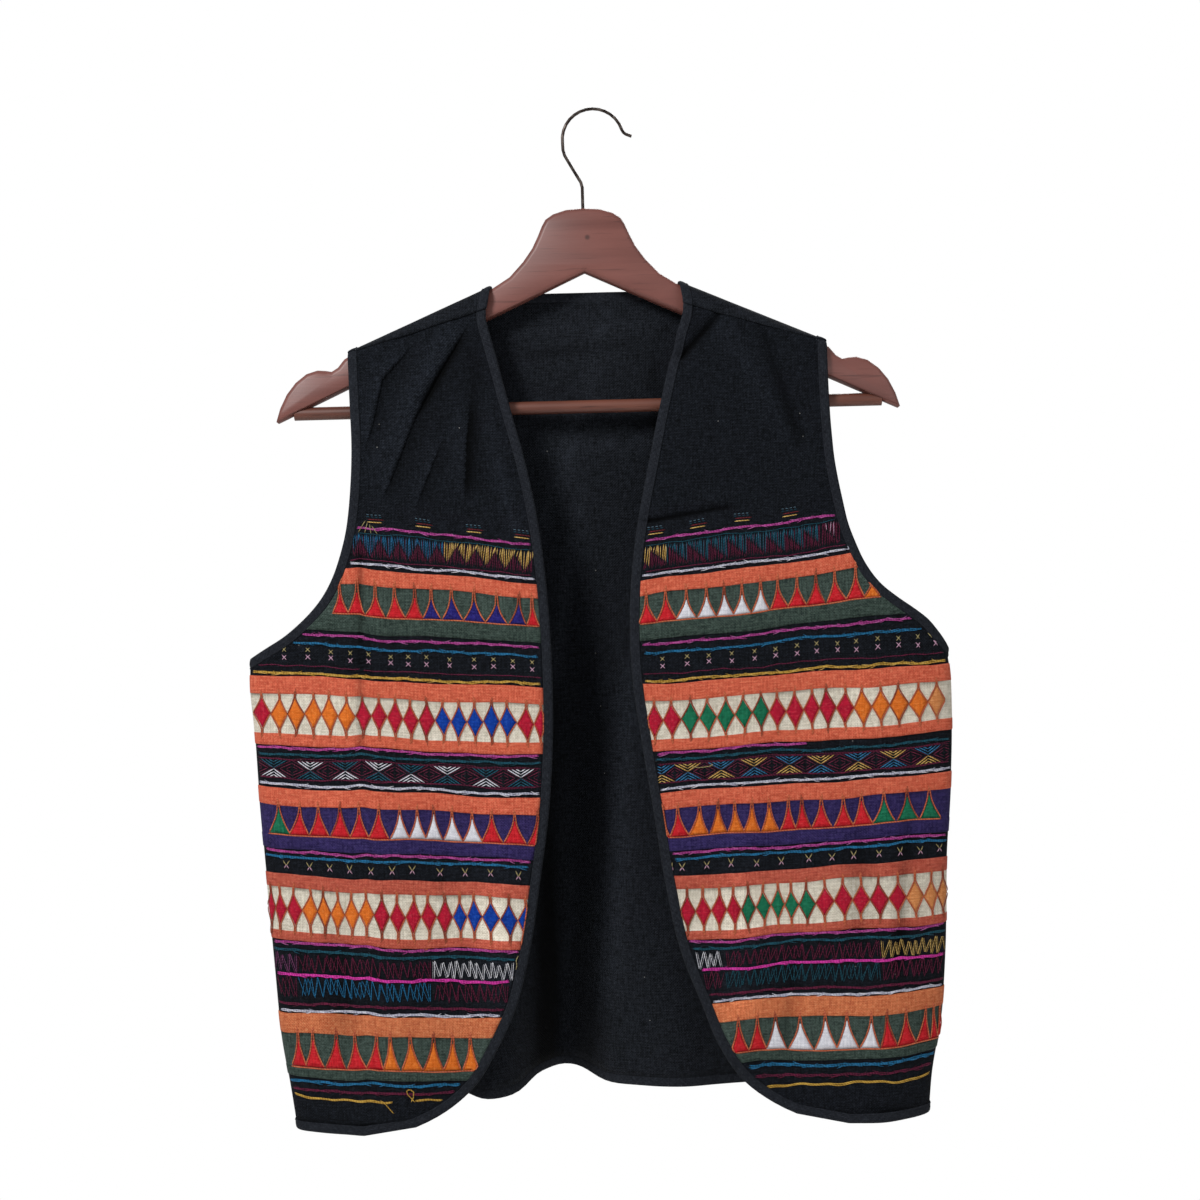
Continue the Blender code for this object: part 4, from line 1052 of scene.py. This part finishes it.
class Threads:
    """The stitches of one kind on one front, gathered into one piece."""

    def __init__(self, name):
        self.name = name
        self.points, self.faces, self.uv, self.indices, self.kinds = [], [], [], [], []
        self.count = 0

    def lay(self, points, normals, radius, yarn, sides=6, flat=0.75):
        """A thread along points on the cloth, with its ends drawn in."""
        run = unit(np.gradient(points, axis=0))
        aside = unit(np.cross(run, normals))
        normals = unit(np.cross(aside, run))
        radii = np.full(len(points), radius)
        radii[[0, -1]] = radius * 0.45
        angles = np.arange(sides) * 2 * math.pi / sides
        across_it, out_of_it = np.cos(angles)[None, :, None], flat * np.sin(angles)[None, :, None]
        ring = across_it * aside[:, None] + out_of_it * normals[:, None]
        tube = points[:, None] + ring * radii[:, None, None]
        along = np.concatenate([[0], np.cumsum(np.linalg.norm(np.diff(points, axis=0), axis=1))])
        uv = np.stack(np.broadcast_arrays(np.arange(sides)[None, :] / sides, along[:, None]), axis=-1)
        first = np.arange(len(points) - 1)[:, None] * sides + np.arange(sides)
        second = np.arange(len(points) - 1)[:, None] * sides + np.roll(np.arange(sides), -1)
        quads = np.stack([first, first + sides, second + sides, second], axis=-1).reshape(-1, 4) + self.count
        ends = [self.count + np.arange(sides), self.count + (len(points) - 1) * sides + np.arange(sides)]
        self.points.append(tube.reshape(-1, 3))
        self.uv.append(uv.reshape(-1, 2))
        self.faces += [*quads, *ends]
        if yarn not in self.kinds:
            self.kinds.append(yarn)
        self.indices += [self.kinds.index(yarn)] * (len(quads) + 2)
        self.count += tube.shape[0] * sides

    def sew(self, side, xs, rulers, lift, radius, yarn, spacing=0.0016, dip=True, **form):
        """A thread on a front through places (x, ruler), with more points between them."""
        xs, rulers = np.asarray(xs, float), np.asarray(rulers, float)
        lift = np.broadcast_to(lift, xs.shape).astype(float)
        steps = np.concatenate([[0], np.cumsum(np.hypot(np.diff(xs), np.diff(rulers)))])
        if steps[-1] < 0.0005:
            return
        at = np.linspace(0, steps[-1], max(3, round(steps[-1] / spacing) + 1))
        x, ruler, raised = (np.interp(at, steps, values) for values in (xs, rulers, lift))
        if dip:
            raised[[0, -1]] -= radius * 1.2
        points, normals = on_front(side, kept_on(side, x, ruler, 0.0008), ruler, raised + radius * 0.55)
        self.lay(points, normals, radius, yarn, **form)

    def finish(self):
        points, uv = np.concatenate(self.points), np.concatenate(self.uv)
        kinds = [YARNS[yarn] for yarn in self.kinds]
        return new_piece(self.name, points, self.faces, kinds, uv, "embroidery_thread", indices=self.indices)


def pieced_triangles(side, name, band):
    """A band's triangles and the cord couched round them."""
    letters, points = charted(TRIANGLES[band, side])
    gaps = spaces(points)
    head, foot = BANDS[band][1:3]
    apex = head + (foot - head) * TRIANGLE_TIPS[band]
    base = foot - 0.0006
    parts, letters_of = [], []
    cords = Threads(f"couching_{band}_{name}")
    for i, (letter, x) in enumerate(zip(letters, points, strict=True)):
        one, other = gaps[i] - x, gaps[i + 1] - x
        stray = (band, side, i) == STRAY_PIECE
        tip = apex + 0.0009 * math.sin(i * 2.3 + ord(band)) + (0.0062 if stray else 0.0)
        t = np.linspace(0, 1, 7)
        rulers = tip + (base - tip) * t
        wide = narrowing(t)
        shift = 0.0006 * math.sin(i * 1.9 + side)
        centre = x + shift * t
        parts.append(patch(side, rulers, centre + one * wide * TUCKED, centre + other * wide * TUCKED))
        letters_of.append(letter)
        t = np.linspace(0, 1, 9)
        yarn = "salmon" if (i * 7 + ord(band)) % 5 else "rust"
        for way, width in ((1, one), (-1, other)):
            neck = math.copysign(0.00042, width)
            xs = [x + neck, x + neck, *(x + shift * t + width * narrowing(t) + neck * (1 - t) ** 2)]
            reach = 0.0038 + 0.0012 * math.sin(i * 3.1 + way)
            rs = [head - reach, head - 0.0003, *(tip - 0.0020 + (base - tip + 0.0018) * t)]
            lift = [STRIP, STRIP, *([GROUND + 0.0002] * len(t))]
            xs = np.array(xs) + wander(np.array(rs) * 3 + i, i + way, 0.00018)
            skipped = 2 if stray else 0
            cords.sew(side, xs[skipped:], rs[skipped:], lift[skipped:], 0.00050, yarn)
    low, high = sorted((gaps[0], gaps[-1]))
    along = np.linspace(low, high, 90)
    rulers = base + 0.0004 + wander(along, 5 + side, 0.0003)
    cords.sew(side, kept_on(side, along, rulers), rulers, GROUND + 0.0004, 0.00048, "salmon", dip=False)
    return joined_patches(f"patches_{band}_{name}", parts, letters_of), cords


def pieced_diamonds(side, name, band):
    """A band's diamonds and the cords couched over and under them."""
    letters, points = charted(DIAMONDS[band, side])
    gaps = spaces(points)
    head, foot = BANDS[band][1:3]
    share, reach_share = DIAMOND_FORM[band, side]
    centre, tall = head + (foot - head) * share, (foot - head) * reach_share
    parts = []
    cords = Threads(f"couching_{band}_{name}")
    for i, (letter, x) in enumerate(zip(letters, points, strict=True)):
        one, other = gaps[i] - x, gaps[i + 1] - x
        middle = centre + 0.0006 * math.sin(i * 1.7 + side)
        t = np.linspace(-1, 1, 9)
        wide = np.maximum(0.03, (1 - np.abs(t)) ** 1.14)
        lean = 0.0005 * math.sin(i * 2.7)
        half = tall * (1 + 0.06 * math.sin(i * 3.3))
        rulers = middle + half * t
        along = x + lean * t
        parts.append(patch(side, rulers, along + one * wide * TUCKED, along + other * wide * TUCKED))
        yarn = "salmon" if (i * 5 + ord(band)) % 4 else "rust"
        for end, edge in ((-1, head), (1, foot)):
            for way, width in ((1, one), (-1, other)):
                neck = math.copysign(0.00045, width)
                t = np.linspace(0, 1, 8)
                reach = 0.0030 + 0.0011 * math.sin(i * 2.1 + way + end)
                tip = middle + end * (half + 0.0008)
                sides = neck * (1 - t) + width * t**1.14
                leant = x + lean * end
                xs = [x + neck * 0.8, x + neck, leant + neck * 1.1, *(x + lean * end * (1 - t) + sides)]
                rs = [edge + end * reach, edge + end * 0.0004, (edge + 2 * tip) / 3]
                rs += [*(tip + (middle - tip) * t)]
                lift = [STRIP, STRIP, *([GROUND + 0.0002] * (len(t) + 1))]
                lift[-1] += 0.00035 if way > 0 else 0.0
                xs = np.array(xs) + wander(np.array(rs) * 3 + i, i + way, 0.00012)
                cords.sew(side, xs, rs, lift, 0.00048, yarn)
    return joined_patches(f"patches_{band}_{name}", parts, letters), cords


def joined_patches(name, parts, letters):
    """One piece of a band's patches, each in the cloth that its letter names."""
    kinds = sorted(set(letters))
    faces, indices, count = [], [], 0
    for (points, quads, _), letter in zip(parts, letters, strict=True):
        faces += [*(quads + count)]
        indices += [kinds.index(letter)] * len(quads)
        count += len(points)
    points = np.concatenate([part[0] for part in parts])
    uv = np.concatenate([part[2] for part in parts])
    cloths = [CLOTHS[kind] for kind in kinds]
    return new_piece(name, points, faces, cloths, uv, "applique_cotton", indices=indices)


# Couched lines across both fronts: ruler, yarn, thickness, and how many threads lie side by side
LINES = (
    (0.3093, "magenta", 0.00042, 2), (0.3131, "teal", 0.00026, 1), (0.3315, "maroon", 0.00036, 1),
    (0.3342, "white", 0.00042, 2), (0.3838, "magenta", 0.00042, 2), (0.3902, "blue", 0.00040, 2),
    (0.4052, "maroon", 0.00036, 1), (0.4100, "yellow", 0.00044, 2), (0.4612, "magenta", 0.00044, 2),
    (0.4658, "teal", 0.00040, 2), (0.4690, "maroon", 0.00026, 1), (0.4832, "maroon", 0.00036, 1),
    (0.4872, "white", 0.00044, 2), (0.5350, "magenta", 0.00044, 2), (0.5390, "blue", 0.00044, 2),
    (0.5992, "magenta", 0.00044, 2), (0.6044, "teal", 0.00044, 2), (0.6206, "pink", 0.00050, 2),
    (0.6396, "maroon", 0.00042, 2), (0.6443, "white", 0.00044, 2), (0.6934, "blue", 0.00046, 2),
    (0.6990, "maroon", 0.00040, 2),
)
# A couched thread's paler neighbour
PALER = {"magenta": "orchid", "white": "bright", "blue": "azure", "teal": "petrol", "yellow": "gold"}
LINE_ENDS = {(1, 0.4612): 0.1490}  # from there on, the band lies over the line


def couched_lines(side, name):
    """The lines across a front: threads side by side, paler floats over them, and the ties."""
    lines = Threads("couched_lines_" + name)
    for k, (ruler, yarn, radius, threads) in enumerate(LINES):
        start, end = ends_of(side, ruler)
        start, end = start + 0.0015 + 0.001 * (k % 3), end - 0.0015 - 0.0012 * (k % 2)
        end = LINE_ENDS.get((side, ruler), end)
        x = np.linspace(start, end, round((end - start) / 0.0022))
        drift = wander(x, k * 3 + side, 0.0005)
        for n in range(threads):
            apart = (n - (threads - 1) / 2) * radius * 1.7
            own = wander(x * 2.3, k + 11 * n + side, 0.00034) + wander(x * 6.1, 2 * k + n, 0.00014)
            rs = ruler + drift + apart + own
            lines.sew(side, x, rs, 0.0001 + 0.0002 * n, radius, yarn, 0.0018, sides=5)
        for n, at in enumerate(np.arange(start + 0.001, end - 0.0075, 0.0051) if threads > 1 else ()):
            length, tilt = 0.0060 + 0.0018 * math.sin(n * 2.3 + k), 0.0011 * math.sin(n * 1.7 + 3 * k)
            middle = ruler + float(wander(at, k * 3 + side, 0.0005)) + 0.0008 * math.sin(n * 3.7 + k)
            own = PALER.get(yarn, yarn) if n % 2 == 0 else yarn
            xs, rs = [at, at + length / 2, at + length], [middle - tilt, middle + 0.0003, middle + tilt]
            lines.sew(side, xs, rs, 0.0007, radius * 0.62, own, 0.0026, sides=4)
        for tie in np.arange(start + 0.003, end, 0.0068):
            tie = tie + float(wander(tie * 5, k, 0.0012))
            middle = ruler + float(wander(tie, k * 3 + side, 0.0005))
            xs, rs = [tie, tie + 0.0003], [middle - 0.0009, middle + 0.0009]
            lines.sew(side, xs, rs, 0.0005, 0.00016, yarn, 0.0008, sides=4)
    return lines.finish()


LOWEST = 0.7039  # the lowest line's ruler


def loose_yellow(side, name):
    """The lowest yellow line. On the wearer's right it has come undone: a break, a tail and a loop."""
    thread = Threads("lowest_line_" + name)
    start, end = ends_of(side, LOWEST)
    runs = [(start + 0.002, end - 0.003)] if side > 0 else [(0.1500, end - 0.003), (start + 0.004, 0.1345)]
    for n, (one, other) in enumerate(runs):
        x = np.linspace(one, other, round((other - one) / 0.0025))
        ruler = LOWEST + wander(x, 7 + side, 0.0011)
        thread.sew(side, x, ruler, 0.0002, 0.00046, "yellow", 0.0022)
        thread.sew(side, x, ruler + 0.0007 + wander(x * 2, n, 0.0002), 0.0001, 0.00036, "yellow", 0.0022)
    if side < 0:
        tail = [(0.1585, 0.7040), (0.1560, 0.7050), (0.1530, 0.7080), (0.1500, 0.7112), (0.1492, 0.7120)]
        loop = [(0.1345, 0.7045), (0.1365, 0.7022), (0.1395, 0.6990), (0.1400, 0.6965), (0.1375, 0.6958)]
        loop += [(0.1352, 0.6975), (0.1355, 0.7010), (0.1372, 0.7042)]
        for path, lift in ((tail, 0.0004), (loop, 0.0012)):
            thread.sew(side, column(path, 0), column(path, 1), lift, 0.00034, "yellow", 0.0012)
    return thread.finish()


def long_stitches(side, name):
    """The strip of upright stitches over the first band: two yarns that share each upright in wedges."""
    strip = Threads("long_stitches_" + name)
    top, foot = 0.3140, 0.3296
    start, end = ends_of(side, 0.322)
    x, n = start + 0.002, 0
    while x < end - 0.0015:
        if side < 0:
            upper = "gold" if x < 0.1057 else "blue"
        else:
            upper = "gold" if x < 0.0531 else "petrol"
            if x > 0.1625:
                upper = "rose" if 0.1660 < x < 0.1745 and n % 2 else "maroon"
        wave = (x * (1 / 0.0137)) % 1.0
        share = 0.20 + 0.72 * (1 - abs(2 * wave - 1)) if side < 0 else 0.15 + 0.80 * wave
        split = top + (foot - top) * share
        lean = 0.0008 * math.sin(n * 1.3) + 0.0010 * (side if upper == "gold" else 0.3)
        rs = [top + 0.0006 * math.sin(n * 1.7), split]
        strip.sew(side, [x + lean, x], rs, 0.0001, 0.00027, upper, 0.003, sides=5)
        if share < 0.88:
            rs = [split + 0.0006, foot + 0.0009 * math.sin(n * 2.9) * 0.6]
            strip.sew(side, [x + 0.0003, x - lean], rs, 0.0001, 0.00028, "maroon", 0.003, sides=5)
        if n % 2 == 0:
            strip.sew(side, [x + 0.0006, x + 0.0005], [top, foot], 0.0, 0.00022, "maroon", 0.003, sides=4)
        x += 0.00124 + 0.00030 * math.sin(n * 1.7)
        n += 1
    for n, tuft in enumerate([] if side > 0 else [0.1560, 0.1575, 0.1590, 0.1605]):
        xs, rs = [tuft, tuft - 0.004 + 0.003 * n], [0.3075 - 0.001 * n, 0.3130]
        strip.sew(side, xs, rs, 0.0008, 0.00024, "straw", 0.001)
    return strip.finish()


CROSSES = {  # places of the pairs of small crosses and of the larger crosses, in millimetres from the stem
    -1: (
        "220.9 203.6 187.0 173.0 160.0 144.4 131.9 118.9 102.6 85.2 71.5 57.8 44.1",
        "222.8 205.8 191.1 176.7 161.5 146.6 132.6 113.1 95.1 77.0 57.6",
    ),
    1: (
        "48.0 65.5 81.0 97.2 113.4 128.4 143.8 157.9 172.6 186.0 201.5 216.6 230.7 243.7",
        "49.0 57.9 75.3 92.5 110.7 128.5 148.0 164.3 179.7 197.6 212.7 227.6 242.2",
    ),
}


def crosses(side, name):
    """The small crosses in two rows under the first band, and the larger ones over the fourth."""
    sewn = Threads("crosses_" + name)
    small, large = (from_stem(text) for text in CROSSES[side])
    for n, x in enumerate(small):
        for ruler, yarn, half in ((0.3946, "straw", 0.0014), (0.3993, "rose", 0.0016)):
            ruler = ruler + 0.0004 * math.sin(n * 2.1 + ruler * 900)
            turn = 0.0003 * math.sin(n * 1.4)
            for way in (-1, 1):
                xs, rs = [x - way * half, x + way * (half + turn)], [ruler - half, ruler + half]
                sewn.sew(side, xs, rs, 0.0002 + 0.0002 * (way > 0), 0.00031, yarn, 0.0009)
    for n, x in enumerate(large):
        ruler = 0.5450 + 0.0005 * math.sin(n * 1.9)
        high, low, half = 0.0030 + 0.0005 * math.sin(n * 2.6), 0.0028, 0.0021
        for way in (-1, 1):
            tip = x + way * half + 0.0003 * math.sin(n + way)
            sewn.sew(side, [tip, x], [ruler - high, ruler + 0.0006], 0.0003, 0.00031, "straw", 0.0012)
            sewn.sew(side, [x, x + way * half * 0.8], [ruler, ruler + low], 0.0002, 0.00032, "rose", 0.0012)
    return sewn.finish()


def darned_diamonds(side, name):
    """The strip of nested diamonds, darned in maroon, with nested chevrons between them."""
    strip = Threads("darned_diamonds_" + name)
    top, foot = 0.4700, 0.4826
    middle = (top + foot) / 2
    nodes = "256.0 230.3 203.6 178.3 154.5 131.7 106.1 78.7 54.1 28.0" if side < 0 else (
        "24.0 45.2 63.8 87.4 110.9 136.1 158.5 184.8 210.0 235.5 260.0"
    )
    nodes = sorted(from_stem(nodes))
    start, end = ends_of(side, middle)
    start, end = start + 0.0015, end - 0.0015

    def line(one, other, lift, radius, yarn):
        """A stitch kept between the strip's ends."""
        (x0, r0), (x1, r1) = sorted((one, other))
        if x1 <= start or x0 >= end:
            return
        slope = (r1 - r0) / max(x1 - x0, 1e-6)
        cut0, cut1 = max(x0, start), min(x1, end)
        rs = [r0 + slope * (cut0 - x0), r0 + slope * (cut1 - x0)]
        strip.sew(side, [cut0, cut1], rs, lift, radius, yarn, 0.0025, sides=5)

    half_high = (foot - top) / 2
    for edge in (top - 0.0002, foot + 0.0002):
        x = np.linspace(start, end, 90)
        strip.sew(side, x, edge + wander(x, 3 * edge, 0.0003), 0.0, 0.00026, "maroon", 0.0025, sides=5)
    for n, (left, right) in enumerate(zip(nodes, nodes[1:], strict=False)):
        centre, half = (left + right) / 2, (right - left) / 2
        for k in range(3):
            size = 1 - k * 0.32
            yarn = "wine" if k % 2 else "maroon"
            for a, b in ((-1, -1), (-1, 1), (1, -1), (1, 1)):
                corner = centre + a * half * size * 0.98, middle
                line(corner, (centre, middle + b * half_high * size), 0.0001 * (k % 2), 0.00030, yarn)
        light = ("petrol", "bright") if side < 0 else ("gold", "azure")
        for b in (-1, 1):
            yarn = light[(n + (b > 0)) % 2]
            for k in range(3):
                wide = 0.0094 - 0.0031 * k
                high = half_high * (0.98 - 0.33 * k)
                for a in (-1, 1):
                    foot_of = left + a * wide, middle + b * half_high * 0.99
                    line(foot_of, (left, middle + b * (half_high - high) + b * 0.0003), 0.0003, 0.00040, yarn)
    return strip.finish()


ZIGZAGS = {  # head and foot rulers, and runs of yarn with where they end, from the front edge outwards
    -1: (
        (0.6070, 0.6198, (("white", 0.1208), ("maroon", 0.2168), ("plum", 0.30))),
        (0.6218, 0.6358, (("maroon", 0.1214), ("blue", 0.2172), ("maroon", 0.30))),
    ),
    1: (
        (0.6070, 0.6198, (("white", 0.0868), ("maroon", 0.1966), ("yellow", 0.30))),
        (0.6218, 0.6358, (("maroon", 0.0862), ("teal", 0.1971), ("maroon", 0.30))),
    ),
}


def zigzags(side, name):
    """The two rows of loose upright zigzags between the fourth band and the fifth."""
    rows = Threads("zigzags_" + name)
    for row, (head, foot, runs) in enumerate(ZIGZAGS[side]):
        start, end = ends_of(side, (head + foot) / 2)
        begin = start + 0.002
        for k, (yarn, stop) in enumerate(runs):
            stop = min(stop, end - 0.002)
            pale = yarn in ("white", "yellow", "plum")
            for layer in range(1 if pale else 2):
                step = (0.0028, 0.0037)[layer]
                x, xs, rulers, n = begin + 0.0011 * layer, [], [], 0
                while x < stop:
                    up = n % 2 == 0
                    upper = head + 0.0010 * math.sin(n * 1.9 + row)
                    lower = foot - 0.0008 + 0.0009 * math.sin(n * 2.3)
                    xs.append(x + 0.0006 * math.sin(n * 2.7 + k + layer))
                    rulers.append(upper if up else lower)
                    x += step * (0.50 if up else 1.30) + 0.0005 * math.sin(n * 1.1 + side)
                    n += 1
                if len(xs) > 2:
                    thick = 0.00020 if pale else (0.00025, 0.00019)[layer]
                    own = "bright" if yarn == "white" else "gold" if yarn == "yellow" else yarn
                    rows.sew(side, xs, rulers, 0.0002 + 0.0002 * layer, thick, own, 0.0021, sides=5)
                    if pale:
                        xs, rulers = np.array(xs) + 0.0012, np.array(rulers) + 0.0004
                        rows.sew(side, xs, rulers, 0.0002, 0.00010, own, 0.0021, sides=5)
            begin = stop
    return rows.finish()


# Middles of the groups of short stitches on the yoke, from the stem
DASHES = {-1: (0.1543, 0.1196, 0.0835, 0.0496), 1: (0.0455, 0.0755, 0.1072, 0.1413)}
LOOSE_ENDS = {  # paths of single threads that have come away, as distance from the stem and ruler
    -1: (
        (((0.0590, 0.6020), (0.0606, 0.6050), (0.0602, 0.6090), (0.0580, 0.6120)), "straw"),
        (((0.1215, 0.5955), (0.1240, 0.5990), (0.1260, 0.5985)), "salmon"),
    ),
    1: (
        (((0.0660, 0.4725), (0.0720, 0.4738), (0.0790, 0.4732), (0.0818, 0.4722), (0.0800, 0.4715)), "straw"),
        (((0.0340, 0.4665), (0.0385, 0.4670), (0.0440, 0.4662)), "black"),
        (((0.1900, 0.3325), (0.1860, 0.3350), (0.1800, 0.3345)), "white"),
    ),
}


def dashes(side, name):
    """The groups of short running stitches on the yoke."""
    sewn = Threads("dashes_" + name)
    for n, x in enumerate(DASHES[side]):
        for ruler, yarn, from_x, to_x, radius in (
            (0.2997, "mist", -0.0060, 0.0056, 0.00020),
            (0.3012, "petrol", -0.0060, 0.0062, 0.00018),
            (0.3030, "red", -0.0046, 0.0072, 0.00030),
            (0.3049, "gold", -0.0052, 0.0058, 0.00036),
        ):
            one, other = x + side * from_x, x + side * to_x
            if radius < 0.0003:
                for k in range(4):
                    share = (k + 0.1) / 4, (k + 0.82) / 4
                    ends = [one + (other - one) * s for s in share]
                    sewn.sew(side, ends, [ruler, ruler + 0.0001], 0.0, radius, yarn, 0.0012)
            else:
                xs = np.linspace(one, other, 5)
                sewn.sew(side, xs, ruler + wander(xs, n, 0.0002), 0.0001, radius, yarn, 0.0015)
    for path, yarn in LOOSE_ENDS[side]:
        sewn.sew(side, column(path, 0), column(path, 1), 0.0010, 0.00030, yarn, 0.0012)
    return sewn.finish()


def binding_stitches(label):
    """The running stitches that hold the bindings, a little sunk in the cloth."""
    row = Threads("binding_stitches_" + label)
    for name, (line, up, along) in stitched:
        if name == label:
            at = 0.001
            while at < along[-1] - 0.0025:
                places = at + np.array((0.0, 0.0009, 0.0019))
                path = np.stack([np.interp(places, along, line[:, k]) for k in range(3)], axis=1)
                facing = unit(np.stack([np.interp(places, along, up[:, k]) for k in range(3)], axis=1))
                path = path - facing * np.array((0.00025, 0.0, 0.00025))[:, None]
                row.lay(path, facing, 0.00020, "black", sides=4)
                at += 0.0029
    return row.finish()


for side, name in ((-1, "right"), (1, "left")):
    for band in BANDS:
        sewn_on[side].append(sewn_band(side, name, band))
        make = pieced_triangles if (band, side) in TRIANGLES else pieced_diamonds
        patches, cords = make(side, name, band)
        sewn_on[side] += [patches, cords.finish()]
    for make in (couched_lines, loose_yellow, long_stitches, crosses, darned_diamonds, zigzags, dashes):
        sewn_on[side].append(make(side, name))
    sewn_on[side].append(binding_stitches(name))
back_stitches = binding_stitches("back")


# The hanger

def mend_tips(mesh):
    """The board's rounded edges cross at its two tips. Each pair of corners that crossed becomes one."""
    editor = bmesh.new()
    editor.from_mesh(mesh)
    bmesh.ops.remove_doubles(editor, verts=editor.verts, dist=1e-5)
    for tip in (-1, 1):
        for face in (-1, 1):
            crossed = [
                corner
                for corner in editor.verts
                if tip * (corner.co.x - STEM[0]) > 0 and face * corner.co.y > 0.0059 and corner.co.z < -0.2140
            ]
            if len(crossed) > 1:
                middle = sum((corner.co for corner in crossed), crossed[0].co * 0) / len(crossed)
                bmesh.ops.pointmerge(editor, verts=crossed, merge_co=middle)
    editor.to_mesh(mesh)
    editor.free()


HOOK_SHRINK = 0.00045  # the drawn wire is a little thinner than its solid


def smooth_copy(node, name, material, angle):
    """A CAD node's solid, merged and shaded smooth, which stands for the node."""
    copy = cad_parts[node].copy()
    copy.data = copy.data.copy()
    if node == "hanger_board":
        mend_tips(copy.data)
    copy.name = name
    for key in list(copy.keys()):
        if key.startswith("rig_"):
            del copy[key]
    bpy.context.scene.collection.objects.link(copy)
    bpy.ops.object.select_all(action="DESELECT")
    copy.select_set(True)
    bpy.context.view_layer.objects.active = copy
    bpy.ops.object.mode_set(mode="EDIT")
    bpy.ops.mesh.select_all(action="SELECT")
    bpy.ops.mesh.remove_doubles(threshold=1e-5)
    bpy.ops.mesh.tris_convert_to_quads(face_threshold=math.radians(2), shape_threshold=math.radians(60))
    if node == "hanger_hook":
        bpy.ops.transform.shrink_fatten(value=-HOOK_SHRINK)
    bpy.ops.object.mode_set(mode="OBJECT")
    bpy.ops.object.shade_smooth_by_angle(angle=math.radians(angle))
    copy.data.materials.clear()
    copy.data.materials.append(material)
    copy.select_set(False)
    return copy


for node, material, angle, slot in (
    ("hanger_board", STAINED_BEECH, 50, "hanger_wood"),
    ("hanger_bar", BAR_WOOD, 40, "hanger_wood"),
    ("hanger_hook", STEEL_WIRE, 60, "hook_wire"),
):
    copy = smooth_copy(node, node + "_finished", material, angle)
    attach(copy, "root")
    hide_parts(node)


# Floor, light and camera

bpy.ops.object.select_all(action="DESELECT")
bpy.ops.mesh.primitive_plane_add(size=2.4, location=(0.0, 0.0, -1.25))
floor = bpy.context.object
floor.name = "studio_floor"
floor.data.materials.append(painted_floor())

ROOM_LIGHT = 0.36  # how much of the white room's light reaches the cloth; the room itself shows white
world = bpy.data.worlds.new("studio")
bpy.context.scene.world = world
world.use_nodes = True
backdrop = world.node_tree.nodes["Background"]
backdrop.inputs["Color"].default_value = linear("#ffffff")
seen = add(world.node_tree, "LightPath", out="Is Camera Ray")
lit = add(world.node_tree, "MapRange", {"Value": seen, "To Min": ROOM_LIGHT, "To Max": 1.0})
lead(world.node_tree, backdrop, {"Strength": lit})


def softbox(name, place, aim, size, power, colour="#ffffff"):
    """A large soft light at a place, aimed at another."""
    light = bpy.data.lights.new(name, "AREA")
    light.shape = "RECTANGLE"
    light.size, light.size_y = size
    light.energy = power
    light.color = linear(colour)[:3]
    lamp = bpy.data.objects.new(name, light)
    bpy.context.scene.collection.objects.link(lamp)
    lamp.location = place
    direction = np.array(aim) - np.array(place)
    yaw = math.atan2(direction[1], direction[0]) - math.pi / 2
    pitch = math.atan2(direction[2], math.hypot(direction[0], direction[1]))
    lamp.rotation_euler = (math.pi / 2 + pitch, 0.0, yaw)


softbox("key", (-1.2, -1.5, 0.85), (0.0, 0.0, -0.40), (0.55, 0.55), 41)
softbox("fill", (1.5, -1.3, 0.1), (0.0, 0.0, -0.45), (1.2, 1.2), 7)
softbox("back", (0.4, 1.7, 0.9), (0.0, 0.0, -0.35), (1.2, 1.0), 22)

camera = bpy.data.cameras.new("camera")
camera.sensor_width = 36.0
camera.lens = 58.25
camera.clip_start = 0.05
eye = bpy.data.objects.new("camera", camera)
bpy.context.scene.collection.objects.link(eye)
eye.location = (-0.0035, -1.400, -0.3526)
eye.rotation_euler = (math.pi / 2, math.radians(1.5), 0.0)
bpy.context.scene.camera = eye
bpy.context.scene.view_settings.view_transform = "Standard"
